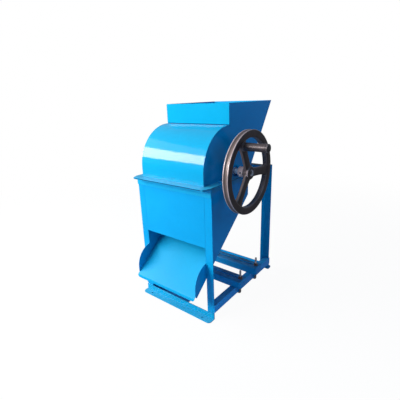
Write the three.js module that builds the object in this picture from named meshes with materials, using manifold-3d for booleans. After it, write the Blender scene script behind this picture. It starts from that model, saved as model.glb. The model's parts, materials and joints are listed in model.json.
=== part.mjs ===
// A peanut sheller: hopper and drum housing on an angle-iron frame, with a rotor over a slotted grate,
// a hand wheel with a belt groove, a discharge chute and two motor rails.
// Lengths are in millimetres. X runs to the machine's right, Y to its back and Z up.
// X 0 is the middle of the frame, Y 0 the front face of the legs and Z 0 the floor.
import * as THREE from "three";
import { mergeVertices } from "three/addons/utils/BufferGeometryUtils.js";
import Module from "manifold-3d";

const wasm = await Module();
wasm.setup();

// Clearances, and how far a cut runs past what it cuts.
const touch = 0.3;
const overrun = 6;

// Frame: angle iron, all of one section.
const frameWidth = 462;
const frameDepth = 575;
const frameTop = 659;
const angleWidth = 40;
const angleThickness = 4;
const footRailHeight = 32;
const footCornerRadius = 18;
const footHoleRadius = 4.5;
const footHoleFromEnd = 56;
const footHoleFromLeg = 24;
const sideRailFlange = 33;
const ringClipX = 15;
const ringClipY = 33;
const ringSeamSkew = 10;
const ringBoltRadius = 4.5;
const sideBoltFirstY = 92;

// Sheet metal of the box and the hood.
const sheet = 2;
const roomUnderGrate = 150;
const boxDepth = 380;
const chuteSlope = 0.835;
const chuteUnderDrop = 159;
const chuteTopDrop = 137;
const lipFront = -97;
const lipDrop = 232;
const lipCornerRadius = 14;
const lipBend = 5;
const cheekTopDrop = 77;
const cheekReach = 86;
const cheekFrontDrop = 212;
const cheekChamfer = 9;
const cheekShoulderShares = [0.56, 0.05];
const cheekNoseShares = [0.98, 0.33];
const cheekEndShare = 0.78;
const drumRadius = 196.5;
const drumRise = 49;
const flangeThickness = 4;
const flangeLedge = 6;
const hopperSetback = 5.5;
const hopperWallHeight = 95.5;
const hopperLean = 223;
const hoodOverhang = 13;
const shaftHoleRadius = 22;

// Pillow block bearings.
const bearingCentreHeight = 34.4;
const bearingBaseLength = 140;
const bearingBaseWidth = 38;
const bearingBaseHeight = 14;
const bearingBoltSpacing = 105;
const bearingBoltRadius = 6;
const bearingHeadRadius = 34;
const bearingHeadWidth = 30;
const bearingNeckHalf = 46;
const bearingSphereRadius = 26;
const bearingSeatShare = 0.9;
const bearingRingWidth = 17;
const bearingInnerLength = 34;
const bearingInnerRadius = 17;

// Rotor.
const shaftRadius = 12.5;
const shaftBehindMiddle = 8;
const shaftStickOut = 6;
const barThickness = 8;
const barDepth = 44;
const barEndGap = 9;
const barCount = 4;
const barFirstAngle = 45;
const spiderFromBarEnd = 49.7;
const spiderThickness = 10;
const spiderHubRadius = 28;
const spiderHubLength = 36;
const spiderArmWidth = 38;
const spiderLugLength = 26;

// Grate: arched ribs with bars across them, open between the bars.
const grateRearGap = 3.7;
const grateClearance = 12;
const grateDepth = 14;
const grateRibThickness = 5;
const grateRibCount = 3;
const grateBarSize = 8;
const grateBarCount = 23;
const grateBarSpanShare = 0.76;
const grateLipThickness = 6;
const ledgeHeight = 25;
const ledgeReach = 12;
const ledgeThickness = 3;
const ledgeDrop = 19;

// Hand wheel, with its rim's belt groove, and its handle.
const wheelStandOff = 50;
const rimWidth = 30;
const rimOuter = 191.5;
const rimInner = 156.5;
const rimRound = 5;
const grooveTop = 13;
const grooveFloor = 7;
const grooveDepth = 10;
const hubStandOff = 19;
const hubLength = 55;
const hubRearRadius = 25;
const hubFrontRadius = 31;
const spokeCount = 3;
const spokeFirstAngle = -6;
const spokeThickness = 20;
const spokeNeckHalf = 17;
const spokeRootHalf = 22;
const spokeFlareHalf = 28;
const spokeBevel = 3;
const handleRadius = 137;
const handleBossRadius = 20;
const handleReach = 110;
const studRadius = 8;
const studHeadRadius = 18;
const studHeadLength = 10;
const studDomeShares = [0.8, 0.4];
const gripRadius = 17;
const gripWaistRadius = 15;
const gripRound = 3;
const keyWidth = 8;
const keyHeight = 7;
const keyLength = 40;
const keyDepthInShaft = 4;
const setScrewRadius = 4;
const setScrewLength = 8;
const setScrewAngle = 182;

// Motor rails and the hook bolts that clamp them to the side rails.
const railOverhang = 31;
const railWidth = 72;
const railHeight = 40;
const railThickness = 4;
const railBend = 9;
const railCornerRadius = 12;
const railSlotWidth = 13;
const railSlotEnd = 10;
const frontRailY = 220;
const rearRailY = 386;
const hookBoltStandOff = 12;
const hookBoltRadius = 5.5;
const hookBoltRise = 47;
const hookReach = 26;
const hookBend = 9;
const washerRadius = 12;
const washerThickness = 2.5;
const nutAcrossFlats = 18;
const nutHeight = 10;

// Faces and places that follow from the sizes.
const halfWidth = frameWidth / 2;
const legInner = halfWidth - angleWidth;
const boxHalf = legInner - touch;
const boxInnerHalf = boxHalf - sheet;
const flangeBottom = frameTop + touch;
const flangeTop = flangeBottom + flangeThickness;
const hoodBottom = flangeTop + touch;
const shaftY = boxDepth / 2 + shaftBehindMiddle;
const shaftZ = hoodBottom + bearingCentreHeight;
const boxRearFace = boxDepth - sheet - touch;
const grateOuter = boxRearFace - shaftY - grateRearGap;
const grateInner = grateOuter - grateDepth;
const rotorTip = grateInner - grateClearance;
const panelBottom = shaftZ - grateOuter - roomUnderGrate;
const chuteTop = panelBottom - chuteTopDrop;
const chuteUnderEdge = panelBottom - chuteUnderDrop;
const boxRearBottom = chuteUnderEdge + chuteSlope * boxDepth - touch;
const lipBottom = panelBottom - lipDrop;
const cheekTop = panelBottom - cheekTopDrop;
const cheekFrontBottom = panelBottom - cheekFrontDrop;
const drumCentreZ = frameTop + drumRise;
const drumTop = drumCentreZ + drumRadius;
const hopperFront = drumRadius + hopperSetback;
const hopperRim = drumTop + hopperWallHeight;
const hoodRear = boxDepth + hoodOverhang;
const hopperRear = hoodRear + hopperLean;
const legTop = frameTop - angleThickness - touch;
const sideRailTop = 2 * angleWidth;
const bearingX = legInner + angleWidth / 2;
const hopperSlantRun = (hopperRear - hoodRear) / (hopperRim - hoodBottom);
const slantSheet = sheet * Math.hypot(1, hopperSlantRun);
const slantTouch = touch * Math.hypot(1, hopperSlantRun);
const chuteSheet = sheet * Math.hypot(1, chuteSlope);
const barLength = 2 * (boxInnerHalf - barEndGap);
const spiderSpacing = barLength - 2 * spiderFromBarEnd;
const ledgeTop = frameTop - ledgeDrop;
const wheelInner = halfWidth + wheelStandOff;
const hubStart = halfWidth + hubStandOff;
const hubEnd = hubStart + hubLength;
const handleEnd = wheelInner + rimWidth + handleReach;
const railBottom = sideRailTop + touch;
const railTop = railBottom + railHeight;
const railLength = 2 * (halfWidth + railOverhang);
const hookBoltX = halfWidth + hookBoltStandOff;
const hookBoltTop = railTop + hookBoltRise;

// Finishes, from the photograph.
const bluePaint = { color: 0x1c8fd2, roughness: 0.35, metalness: 0.1 };
const barePaint = { color: 0x4f7fa8, roughness: 0.6, metalness: 0.15 };
const castIron = { color: 0x3a2f2f, roughness: 0.45, metalness: 0.7 };
const steel = { color: 0x9aa3ad, roughness: 0.35, metalness: 0.9 };
const darkSteel = { color: 0x5c5f63, roughness: 0.5, metalness: 0.8 };
const rustySteel = { color: 0x6e5348, roughness: 0.7, metalness: 0.6 };

const machine = new THREE.Group();

// A closed three.js geometry as a solid: shared corners merged, flat triangles dropped.
function solidOf(geometry) {
  const bare = geometry.clone();
  bare.deleteAttribute("normal");
  bare.deleteAttribute("uv");
  const merged = mergeVertices(bare);
  const corners = merged.index.array;
  const kept = [];
  for (let i = 0; i < corners.length; i += 3) {
    const [a, b, c] = [corners[i], corners[i + 1], corners[i + 2]];
    if (a !== b && b !== c && c !== a) kept.push(a, b, c);
  }
  return new wasm.Manifold(
    new wasm.Mesh({
      numProp: 3,
      vertProperties: merged.attributes.position.array,
      triVerts: new Uint32Array(kept),
    }),
  );
}

// Adds a solid to the machine as a named mesh with a material of its own.
function addPiece(name, solid, finish) {
  const { vertProperties, triVerts } = solid.getMesh();
  const geometry = new THREE.BufferGeometry();
  geometry.setAttribute("position", new THREE.BufferAttribute(vertProperties, 3));
  geometry.setIndex(new THREE.BufferAttribute(triVerts, 1));
  const faceted = geometry.toNonIndexed();
  faceted.computeVertexNormals();
  const mesh = new THREE.Mesh(faceted, new THREE.MeshStandardMaterial(finish));
  mesh.name = name;
  machine.add(mesh);
}

// A block between two corners.
function block([x0, y0, z0], [x1, y1, z1]) {
  const geometry = new THREE.BoxGeometry(x1 - x0, y1 - y0, z1 - z0);
  geometry.translate((x0 + x1) / 2, (y0 + y1) / 2, (z0 + z1) / 2);
  return solidOf(geometry);
}

// How an outline's own right, up and depth lie when it is extruded along X, Y or Z.
const alongX = [[0, 1, 0], [0, 0, 1], [1, 0, 0]];
const alongY = [[1, 0, 0], [0, 0, 1], [0, -1, 0]];
const alongZ = [[1, 0, 0], [0, 1, 0], [0, 0, 1]];

// Extrudes an outline from one place to another along X, Y or Z. The outline's two coordinates are
// Y and Z along X, X and Z along Y, and X and Y along Z.
function extruded(shape, axes, from, to, options = {}) {
  const geometry = new THREE.ExtrudeGeometry(shape, {
    depth: to - from,
    bevelEnabled: false,
    curveSegments: 6,
    ...options,
  });
  const [right, up, depth] = axes.map((axis) => new THREE.Vector3(...axis));
  geometry.applyMatrix4(new THREE.Matrix4().makeBasis(right, up, depth));
  const start = axes === alongY ? to : from;
  const shift = depth.clone().multiply(depth).multiplyScalar(start);
  geometry.translate(shift.x, shift.y, shift.z);
  return solidOf(geometry);
}

// An outline of straight lines through the points.
function polygon(points) {
  return new THREE.Shape(points.map(([a, b]) => new THREE.Vector2(a, b)));
}

function circle(a, b, radius) {
  const shape = new THREE.Shape();
  shape.absarc(a, b, radius, 0, 2 * Math.PI, false);
  return shape;
}

// An outline turned about a line along X through (0, y, z): the points are [x, radius].
function turned(points, [y, z], sides = 24) {
  const profile = points.map(([x, radius]) => new THREE.Vector2(radius, x));
  const geometry = new THREE.LatheGeometry(profile, sides);
  const axes = [[0, 0, 1], [1, 0, 0], [0, 1, 0]].map((axis) => new THREE.Vector3(...axis));
  geometry.applyMatrix4(new THREE.Matrix4().makeBasis(...axes));
  geometry.translate(0, y, z);
  return solidOf(geometry);
}

// A straight rod along X, and one along Z with a given even number of sides.
function rodAlongX(x0, x1, radius, centre, sides) {
  return turned([[x0, 0], [x0, radius], [x1, radius], [x1, 0]], centre, sides);
}

function rodAlongZ(x, y, radius, z0, z1, sides = 12) {
  return extruded(circle(x, y, radius), alongZ, z0, z1, { curveSegments: sides / 2 });
}

// The same solid on the other side of the machine.
function mirroredX(solid) {
  return solid.mirror([1, 0, 0]);
}

function addPair(name, right, finish) {
  addPiece(`${name}_right`, right, finish);
  addPiece(`${name}_left`, mirroredX(right), finish);
}

// Legs: the main flange faces the front or the back, the second one runs inwards along the box.
function legOutline(face, inwards) {
  return polygon([
    [legInner, face],
    [halfWidth, face],
    [halfWidth, face + inwards * angleThickness],
    [legInner + angleThickness, face + inwards * angleThickness],
    [legInner + angleThickness, face + inwards * angleWidth],
    [legInner, face + inwards * angleWidth],
  ]);
}

function addLegs() {
  addPair("leg_front", extruded(legOutline(0, 1), alongZ, 0, legTop), bluePaint);
  addPair("leg_rear", extruded(legOutline(frameDepth, -1), alongZ, 0, legTop), bluePaint);
}

// A foot rail lies against the legs with its flat leg on the floor, pointing outwards.
function footRail(face, outwards) {
  const y0 = face + outwards * touch;
  const wall = y0 + outwards * angleThickness;
  const tip = y0 + outwards * angleWidth;
  const section = polygon([
    [y0, 0],
    [tip, 0],
    [tip, angleThickness],
    [wall, angleThickness],
    [wall, footRailHeight],
    [y0, footRailHeight],
  ]);
  let rail = extruded(section, alongX, -halfWidth, halfWidth);
  const round = tip - outwards * footCornerRadius;
  for (const side of [-1, 1]) {
    const end = side * halfWidth;
    const x = end - side * footCornerRadius;
    const corner = block(
      [Math.min(x, end + side * overrun), Math.min(round, tip + outwards * overrun), -overrun],
      [Math.max(x, end + side * overrun), Math.max(round, tip + outwards * overrun), footRailHeight],
    );
    const kept = rodAlongZ(x, round, footCornerRadius, -overrun, footRailHeight, 32);
    rail = rail.subtract(corner.subtract(kept));
    const holeX = side * (halfWidth - footHoleFromEnd);
    const holeY = face + outwards * footHoleFromLeg;
    rail = rail.subtract(rodAlongZ(holeX, holeY, footHoleRadius, -overrun, footRailHeight));
  }
  return rail;
}

// A side rail lies outside the legs, its flat leg inwards at the top and cut back for them.
function sideRail() {
  const x0 = halfWidth + touch;
  const x1 = x0 + angleThickness;
  const section = polygon([
    [x0, angleWidth],
    [x1, angleWidth],
    [x1, sideRailTop],
    [x1 - sideRailFlange, sideRailTop],
    [x1 - sideRailFlange, sideRailTop - angleThickness],
    [x0, sideRailTop - angleThickness],
  ]);
  let rail = extruded(section, alongY, 0, frameDepth);
  const cut = angleThickness + touch;
  for (const [y0, y1] of [[-overrun, cut], [frameDepth - cut, frameDepth + overrun]]) {
    rail = rail.subtract(block([legInner, y0, angleWidth], [x0, y1, sideRailTop + overrun]));
  }
  return rail;
}

// The flat outline that both the frame's ring and the hood's flange have beside the box.
function sideFlangeOutline(inner, rear) {
  const front = -angleWidth - touch;
  return [
    [legInner + ringSeamSkew, front],
    [halfWidth - ringClipX, front],
    [halfWidth, front + ringClipY],
    [halfWidth, rear],
    [inner, rear],
    [inner, flangeLedge + touch],
    [legInner, flangeLedge + touch],
    [legInner, -touch],
  ];
}

// The flat outline that both have in front of the box, between the side pieces.
function frontFlangeOutline(rear) {
  const front = -angleWidth - touch;
  const half = boxHalf - touch;
  return [
    [-half - ringSeamSkew, front],
    [half + ringSeamSkew, front],
    [half, -touch],
    [half, rear],
    [-half, rear],
    [-half, -touch],
  ];
}

// Bolts that hold the hood to the frame along each side, as holes through both rings.
const sideBoltYs = [sideBoltFirstY, frameDepth / 2];

function withSideHoles(solid) {
  return sideBoltYs.reduce(
    (left, y) => left.subtract(rodAlongZ(bearingX, y, ringBoltRadius, legTop, hoodBottom)),
    solid,
  );
}

function topAngleSide() {
  const bottom = frameTop - angleThickness;
  const outline = sideFlangeOutline(legInner, frameDepth);
  const flange = extruded(polygon(outline), alongZ, bottom, frameTop);
  const wall = block(
    [legInner, angleWidth + touch, frameTop - angleWidth],
    [legInner + angleThickness, frameDepth - angleWidth - touch, frameTop],
  );
  return withSideHoles(flange.add(wall));
}

function topAngleFront() {
  const bottom = frameTop - angleThickness;
  const flange = extruded(polygon(frontFlangeOutline(-touch)), alongZ, bottom, frameTop);
  const half = boxHalf - touch;
  const wallFront = -touch - angleThickness;
  const wall = block(
    [-halfWidth, wallFront, frameTop - angleWidth],
    [halfWidth, -touch, bottom - touch],
  );
  const rise = block([-half, wallFront, bottom - overrun], [half, -touch, frameTop]);
  return flange.add(wall).add(rise);
}

// The rear legs are tied at the top by an angle between them, its flat leg forwards.
function topAngleRear() {
  const section = polygon([
    [frameDepth, legTop - angleWidth],
    [frameDepth, legTop],
    [frameDepth - angleWidth, legTop],
    [frameDepth - angleWidth, legTop - angleThickness],
    [frameDepth - angleThickness, legTop - angleThickness],
    [frameDepth - angleThickness, legTop - angleWidth],
  ]);
  return extruded(section, alongX, -boxHalf, boxHalf);
}

// An angle across the frame, behind the box, that the hood's rear flange rests on.
function crossAngle() {
  const front = boxDepth + touch;
  const section = polygon([
    [front, frameTop - angleWidth],
    [front + angleThickness, frameTop - angleWidth],
    [front + angleThickness, frameTop - angleThickness],
    [front + angleWidth, frameTop - angleThickness],
    [front + angleWidth, frameTop],
    [front, frameTop],
  ]);
  return extruded(section, alongX, -boxHalf, boxHalf);
}

function addFrame() {
  addLegs();
  addPiece("foot_rail_front", footRail(0, -1), bluePaint);
  addPiece("foot_rail_rear", footRail(frameDepth, 1), bluePaint);
  addPair("side_rail", sideRail(), bluePaint);
  addPair("top_angle", topAngleSide(), bluePaint);
  addPiece("top_angle_front", topAngleFront(), bluePaint);
  addPiece("top_angle_rear", topAngleRear(), bluePaint);
  addPiece("cross_angle", crossAngle(), bluePaint);
}

// One side of the box. Below the front panel it runs forward as a cheek of the chute.
function boxSide() {
  const inFront = sheet + touch;
  const panelEdge = panelBottom - touch;
  const underEdge = (y) => chuteUnderEdge + chuteSlope * y;
  const along = ([reach, fall]) => [-reach * cheekReach, cheekTop - fall * (cheekTop - cheekFrontBottom)];
  const shape = new THREE.Shape();
  shape.moveTo(inFront, frameTop);
  shape.lineTo(inFront, panelEdge);
  shape.lineTo(0, panelEdge);
  shape.lineTo(0, cheekTop);
  shape.bezierCurveTo(
    ...along(cheekShoulderShares),
    ...along(cheekNoseShares),
    ...along([1, cheekEndShare]),
  );
  shape.lineTo(-cheekReach + touch, cheekFrontBottom);
  shape.lineTo(-cheekReach + cheekChamfer, underEdge(-cheekReach + cheekChamfer));
  shape.lineTo(boxRearFace, underEdge(boxRearFace));
  shape.lineTo(boxRearFace, frameTop);
  return extruded(shape, alongX, boxInnerHalf, boxHalf, { curveSegments: 12 });
}

// The chute plate slants from the rear panel to a turned-down lip wider than the gap between cheeks.
function chutePlate() {
  const top = (y) => chuteTop + chuteSlope * y;
  const back = lipFront + lipBend;
  const inner = lipFront + sheet;
  const shape = new THREE.Shape();
  shape.moveTo(boxRearFace, top(boxRearFace));
  shape.lineTo(back, top(back));
  shape.quadraticCurveTo(lipFront, top(lipFront), lipFront, top(lipFront) - lipBend);
  shape.lineTo(lipFront, lipBottom);
  shape.lineTo(inner, lipBottom);
  shape.lineTo(inner, top(inner) - chuteSheet - sheet);
  shape.lineTo(back, top(back) - chuteSheet);
  shape.lineTo(boxRearFace, top(boxRearFace) - chuteSheet);
  let plate = extruded(shape, alongX, -boxHalf, boxHalf, { curveSegments: 5 });
  const gapHalf = boxInnerHalf - touch;
  const cheekFront = -cheekReach - touch;
  for (const side of [-1, 1]) {
    const x0 = side > 0 ? gapHalf : -boxHalf - overrun;
    const x1 = side > 0 ? boxHalf + overrun : -gapHalf;
    plate = plate.subtract(block([x0, cheekFront, lipBottom - overrun], [x1, boxDepth, frameTop]));
    const end = side * boxHalf;
    const x = end - side * lipCornerRadius;
    const z = lipBottom + lipCornerRadius;
    const corner = block(
      [Math.min(x, end + side * overrun), lipFront - overrun, lipBottom - overrun],
      [Math.max(x, end + side * overrun), cheekFront + overrun, z],
    );
    const kept = extruded(
      circle(x, z, lipCornerRadius),
      alongY,
      lipFront - overrun,
      cheekFront + overrun,
      { curveSegments: 14 },
    );
    plate = plate.subtract(corner.subtract(kept));
  }
  return plate;
}

function addBox() {
  addPiece("front_panel", block([-boxHalf, 0, panelBottom], [boxHalf, sheet, frameTop]), bluePaint);
  addPair("box_side", boxSide(), bluePaint);
  const rear = block([-boxHalf, boxDepth - sheet, boxRearBottom], [boxHalf, boxDepth, frameTop]);
  addPiece("box_rear_panel", rear, bluePaint);
  addPiece("chute_plate", chutePlate(), bluePaint);
}

// One side of the hood: the drum's end and the hopper's side in one sheet, with the shaft's hole.
function hoodSide() {
  const inset = sheet + touch;
  const rearEdge = slantSheet + slantTouch;
  const shape = new THREE.Shape();
  shape.moveTo(inset, hoodBottom);
  shape.lineTo(inset, drumCentreZ);
  shape.absarc(drumRadius, drumCentreZ, drumRadius - inset, Math.PI, Math.PI / 2, true);
  shape.lineTo(hopperFront + inset, drumTop - inset);
  shape.lineTo(hopperFront + inset, hopperRim);
  shape.lineTo(hopperRear - rearEdge, hopperRim);
  shape.lineTo(hoodRear - rearEdge, hoodBottom);
  shape.holes.push(circle(shaftY, shaftZ, shaftHoleRadius));
  return extruded(shape, alongX, boxInnerHalf, boxHalf, { curveSegments: 16 });
}

// The cover rises from the front flange and bends over the drum to the hopper's front wall.
function drumCover() {
  const inner = drumRadius - sheet;
  const end = hopperFront + sheet;
  const shape = new THREE.Shape();
  shape.moveTo(0, hoodBottom);
  shape.lineTo(0, drumCentreZ);
  shape.absarc(drumRadius, drumCentreZ, drumRadius, Math.PI, Math.PI / 2, true);
  shape.lineTo(end, drumTop);
  shape.lineTo(end, drumTop - sheet);
  shape.lineTo(drumRadius, drumTop - sheet);
  shape.absarc(drumRadius, drumCentreZ, inner, Math.PI / 2, Math.PI, false);
  shape.lineTo(sheet, hoodBottom);
  return extruded(shape, alongX, -boxHalf, boxHalf, { curveSegments: 16 });
}

function hopperFrontWall() {
  const bottom = drumTop + touch;
  return block([-boxHalf, hopperFront, bottom], [boxHalf, hopperFront + sheet, hopperRim]);
}

function hopperRearWall() {
  const outline = [
    [hoodRear, hoodBottom],
    [hopperRear, hopperRim],
    [hopperRear - slantSheet, hopperRim],
    [hoodRear - slantSheet, hoodBottom],
  ];
  return extruded(polygon(outline), alongX, -boxHalf, boxHalf);
}

function addHood() {
  addPair("hood_side", hoodSide(), bluePaint);
  addPiece("drum_cover", drumCover(), bluePaint);
  addPiece("hopper_front_wall", hopperFrontWall(), bluePaint);
  addPiece("hopper_rear_wall", hopperRearWall(), bluePaint);

  const rearEnd = hoodRear + angleWidth;
  const inner = boxInnerHalf - flangeLedge;
  const side = polygon(sideFlangeOutline(inner, rearEnd));
  let sideFlange = withSideHoles(extruded(side, alongZ, flangeBottom, flangeTop));
  for (const offset of [-1, 1]) {
    const y = shaftY + (offset * bearingBoltSpacing) / 2;
    sideFlange = sideFlange.subtract(
      rodAlongZ(bearingX, y, bearingBoltRadius, legTop, hoodBottom),
    );
  }
  addPair("hood_flange", sideFlange, bluePaint);
  const front = polygon(frontFlangeOutline(flangeLedge));
  const frontFlange = extruded(front, alongZ, flangeBottom, flangeTop);
  addPiece("hood_flange_front", frontFlange, bluePaint);
  const rearHalf = inner - touch;
  const rearFlange = block(
    [-rearHalf, hoodRear - flangeLedge, flangeBottom],
    [rearHalf, rearEnd, flangeTop],
  );
  addPiece("hood_flange_rear", rearFlange, bluePaint);
}

// A pillow block's housing: base with two bolt holes, neck, and a round head over the bearing's seat.
function bearingHousing() {
  const base = hoodBottom;
  const half = bearingBaseLength / 2;
  const shape = new THREE.Shape();
  shape.moveTo(shaftY - half, base);
  shape.lineTo(shaftY + half, base);
  shape.lineTo(shaftY + half, base + bearingBaseHeight);
  shape.lineTo(shaftY + bearingNeckHalf, base + bearingBaseHeight);
  shape.quadraticCurveTo(
    shaftY + bearingHeadRadius,
    base + bearingBaseHeight,
    shaftY + bearingHeadRadius,
    shaftZ,
  );
  shape.absarc(shaftY, shaftZ, bearingHeadRadius, 0, Math.PI, false);
  shape.quadraticCurveTo(
    shaftY - bearingHeadRadius,
    base + bearingBaseHeight,
    shaftY - bearingNeckHalf,
    base + bearingBaseHeight,
  );
  shape.lineTo(shaftY - half, base + bearingBaseHeight);
  const headStart = bearingX - bearingHeadWidth / 2;
  const body = extruded(shape, alongX, headStart, headStart + bearingHeadWidth);
  const footHalf = bearingBaseWidth / 2;
  const foot = new THREE.Shape();
  foot.moveTo(bearingX - footHalf, shaftY - half + footHalf);
  foot.absarc(bearingX, shaftY - half + footHalf, footHalf, Math.PI, 2 * Math.PI, false);
  foot.absarc(bearingX, shaftY + half - footHalf, footHalf, 0, Math.PI, false);
  const pad = extruded(foot, alongZ, base, base + bearingBaseHeight);
  const plan = extruded(foot, alongZ, base, shaftZ + 2 * bearingHeadRadius);
  const seat = ballZone(bearingSphereRadius + touch, bearingHeadWidth);
  const bore = rodAlongX(headStart - overrun, headStart + bearingHeadWidth + overrun,
    bearingSeatMouth() + touch, [shaftY, shaftZ]);
  let housing = body.intersect(plan).add(pad).subtract(seat).subtract(bore);
  for (const offset of [-1, 1]) {
    const y = shaftY + (offset * bearingBoltSpacing) / 2;
    housing = housing.subtract(
      rodAlongZ(bearingX, y, bearingBoltRadius, base - overrun, base + bearingHeadRadius),
    );
  }
  return housing;
}

// Radius of the ball-shaped seat where the outer ring's faces cut it.
function bearingSeatMouth() {
  return Math.sqrt(bearingSphereRadius ** 2 - (bearingRingWidth / 2) ** 2);
}

// The middle of a ball about the shaft's axis, cut by two flat faces a width apart.
function ballZone(radius, width) {
  const half = Math.min(width / 2, radius * bearingSeatShare);
  const points = [[bearingX - half, 0]];
  const steps = 4;
  for (let i = 0; i <= steps; i += 1) {
    const x = -half + (2 * half * i) / steps;
    points.push([bearingX + x, Math.sqrt(radius ** 2 - x ** 2)]);
  }
  points.push([bearingX + half, 0]);
  return turned(points, [shaftY, shaftZ]);
}

function bearingOuterRing() {
  const half = bearingRingWidth / 2 + overrun;
  const hole = rodAlongX(bearingX - half, bearingX + half, bearingInnerRadius + touch,
    [shaftY, shaftZ]);
  return ballZone(bearingSphereRadius, bearingRingWidth).subtract(hole);
}

function bearingInnerRing() {
  const x0 = bearingX - bearingInnerLength / 2;
  const x1 = x0 + bearingInnerLength;
  const bore = shaftRadius + touch;
  const profile = [
    [x0, bore],
    [x0, bearingInnerRadius],
    [x1, bearingInnerRadius],
    [x1, bore],
    [x0, bore],
  ];
  return turned(profile, [shaftY, shaftZ]);
}

function addBearings() {
  addPair("bearing_housing", bearingHousing(), bluePaint);
  addPair("bearing_outer_ring", bearingOuterRing(), steel);
  addPair("bearing_inner_ring", bearingInnerRing(), steel);
}

// The key's seat runs in from the shaft's wheel end.
const keyStart = hubEnd - keyLength - touch;
const keyBottom = shaftZ + shaftRadius - keyDepthInShaft;

function keyBlock(grown) {
  return block(
    [keyStart - grown, shaftY - keyWidth / 2 - grown, keyBottom - grown],
    [keyStart + keyLength + grown, shaftY + keyWidth / 2 + grown, keyBottom + keyHeight + grown],
  );
}

function mainShaft() {
  const left = -bearingX - bearingInnerLength / 2 - shaftStickOut;
  return rodAlongX(left, hubEnd, shaftRadius, [shaftY, shaftZ]).subtract(keyBlock(touch));
}

// Places a solid drawn with its outer end up (+Z) at an angle round the shaft, in degrees from +Y.
function roundShaft(solid, degrees) {
  return solid.rotate([degrees - 90, 0, 0]).translate([0, shaftY, shaftZ]);
}

// A spider carries one bar on the end of each arm: the bar stands on a shoulder against a lug.
function rotorSpider() {
  const x0 = spiderSpacing / 2 - spiderThickness / 2;
  const shoulder = rotorTip - barDepth - touch;
  const half = spiderArmWidth / 2;
  const lug = barThickness / 2 + touch;
  const arm = extruded(
    polygon([
      [-half, 0],
      [half, 0],
      [half, shoulder],
      [-lug, shoulder],
      [-lug, shoulder + spiderLugLength],
      [-half, shoulder + spiderLugLength],
    ]),
    alongX,
    x0,
    x0 + spiderThickness,
  );
  const hubX = spiderSpacing / 2 - spiderHubLength / 2;
  const centre = [shaftY, shaftZ];
  let spider = rodAlongX(hubX, hubX + spiderHubLength, spiderHubRadius, centre);
  for (let i = 0; i < barCount; i += 1) {
    spider = spider.add(roundShaft(arm, barAngle(i)));
  }
  const bore = shaftRadius + touch;
  return spider.subtract(rodAlongX(hubX - overrun, hubX + spiderHubLength + overrun, bore, centre));
}

function barAngle(i) {
  return barFirstAngle + (360 / barCount) * i;
}

// A flat bar with a rounded outer edge.
function beaterBar(i) {
  const half = barThickness / 2;
  const shape = new THREE.Shape();
  shape.moveTo(-half, rotorTip - barDepth);
  shape.lineTo(half, rotorTip - barDepth);
  shape.lineTo(half, rotorTip - half);
  shape.absarc(0, rotorTip - half, half, 0, Math.PI, false);
  const bar = extruded(shape, alongX, -barLength / 2, barLength / 2);
  return roundShaft(bar, barAngle(i));
}

function addRotor() {
  addPiece("main_shaft", mainShaft(), steel);
  addPair("rotor_spider", rotorSpider(), darkSteel);
  for (let i = 0; i < barCount; i += 1) {
    addPiece(`beater_bar_${i + 1}`, beaterBar(i), darkSteel);
  }
}

// The grate: arched ribs, bars across them and a lip along each upper edge.
function grate() {
  const half = boxInnerHalf - 2 * touch;
  const lipBase = ledgeTop + touch;
  const lipMiddle = lipBase + grateLipThickness / 2;
  const middle = (grateInner + grateOuter) / 2;
  const drop = Math.asin((shaftZ - lipMiddle) / middle);
  const ribShape = new THREE.Shape();
  ribShape.absarc(shaftY, shaftZ, grateOuter, -drop, -Math.PI + drop, true);
  ribShape.absarc(shaftY, shaftZ, grateInner, -Math.PI + drop, -drop, false);
  let made = null;
  for (let i = 0; i < grateRibCount; i += 1) {
    const run = 2 * half - grateRibThickness;
    const x = -half + (run * i) / (grateRibCount - 1);
    const rib = extruded(ribShape, alongX, x, x + grateRibThickness, { curveSegments: 12 });
    made = made ? made.add(rib) : rib;
  }
  const bar = block(
    [-half, -grateBarSize / 2, middle - grateBarSize / 2],
    [half, grateBarSize / 2, middle + grateBarSize / 2],
  );
  const span = 180 * grateBarSpanShare;
  for (let i = 0; i < grateBarCount; i += 1) {
    made = made.add(roundShaft(bar, -90 - span / 2 + (span * i) / (grateBarCount - 1)));
  }
  const reach = middle * Math.cos(drop);
  const lips = [
    [2 * sheet + ledgeThickness, shaftY - reach + grateBarSize],
    [shaftY + reach - grateBarSize, boxRearFace - sheet - ledgeThickness],
  ];
  for (const [y0, y1] of lips) {
    made = made.add(block([-half, y0, lipBase], [half, y1, lipBase + grateLipThickness]));
  }
  return made;
}

// A ledge is a small angle on the inside of the box that a lip of the grate rests on.
function ledge(wall, inwards) {
  const section = polygon([
    [wall, ledgeTop],
    [wall, ledgeTop - ledgeHeight],
    [wall + inwards * ledgeThickness, ledgeTop - ledgeHeight],
    [wall + inwards * ledgeThickness, ledgeTop - ledgeThickness],
    [wall + inwards * ledgeReach, ledgeTop - ledgeThickness],
    [wall + inwards * ledgeReach, ledgeTop],
  ]);
  return extruded(section, alongX, -boxInnerHalf + touch, boxInnerHalf - touch);
}

function addGrate() {
  addPiece("grate", grate(), darkSteel);
  addPiece("grate_ledge_front", ledge(sheet + touch, 1), bluePaint);
  addPiece("grate_ledge_rear", ledge(boxRearFace, -1), bluePaint);
}

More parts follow.
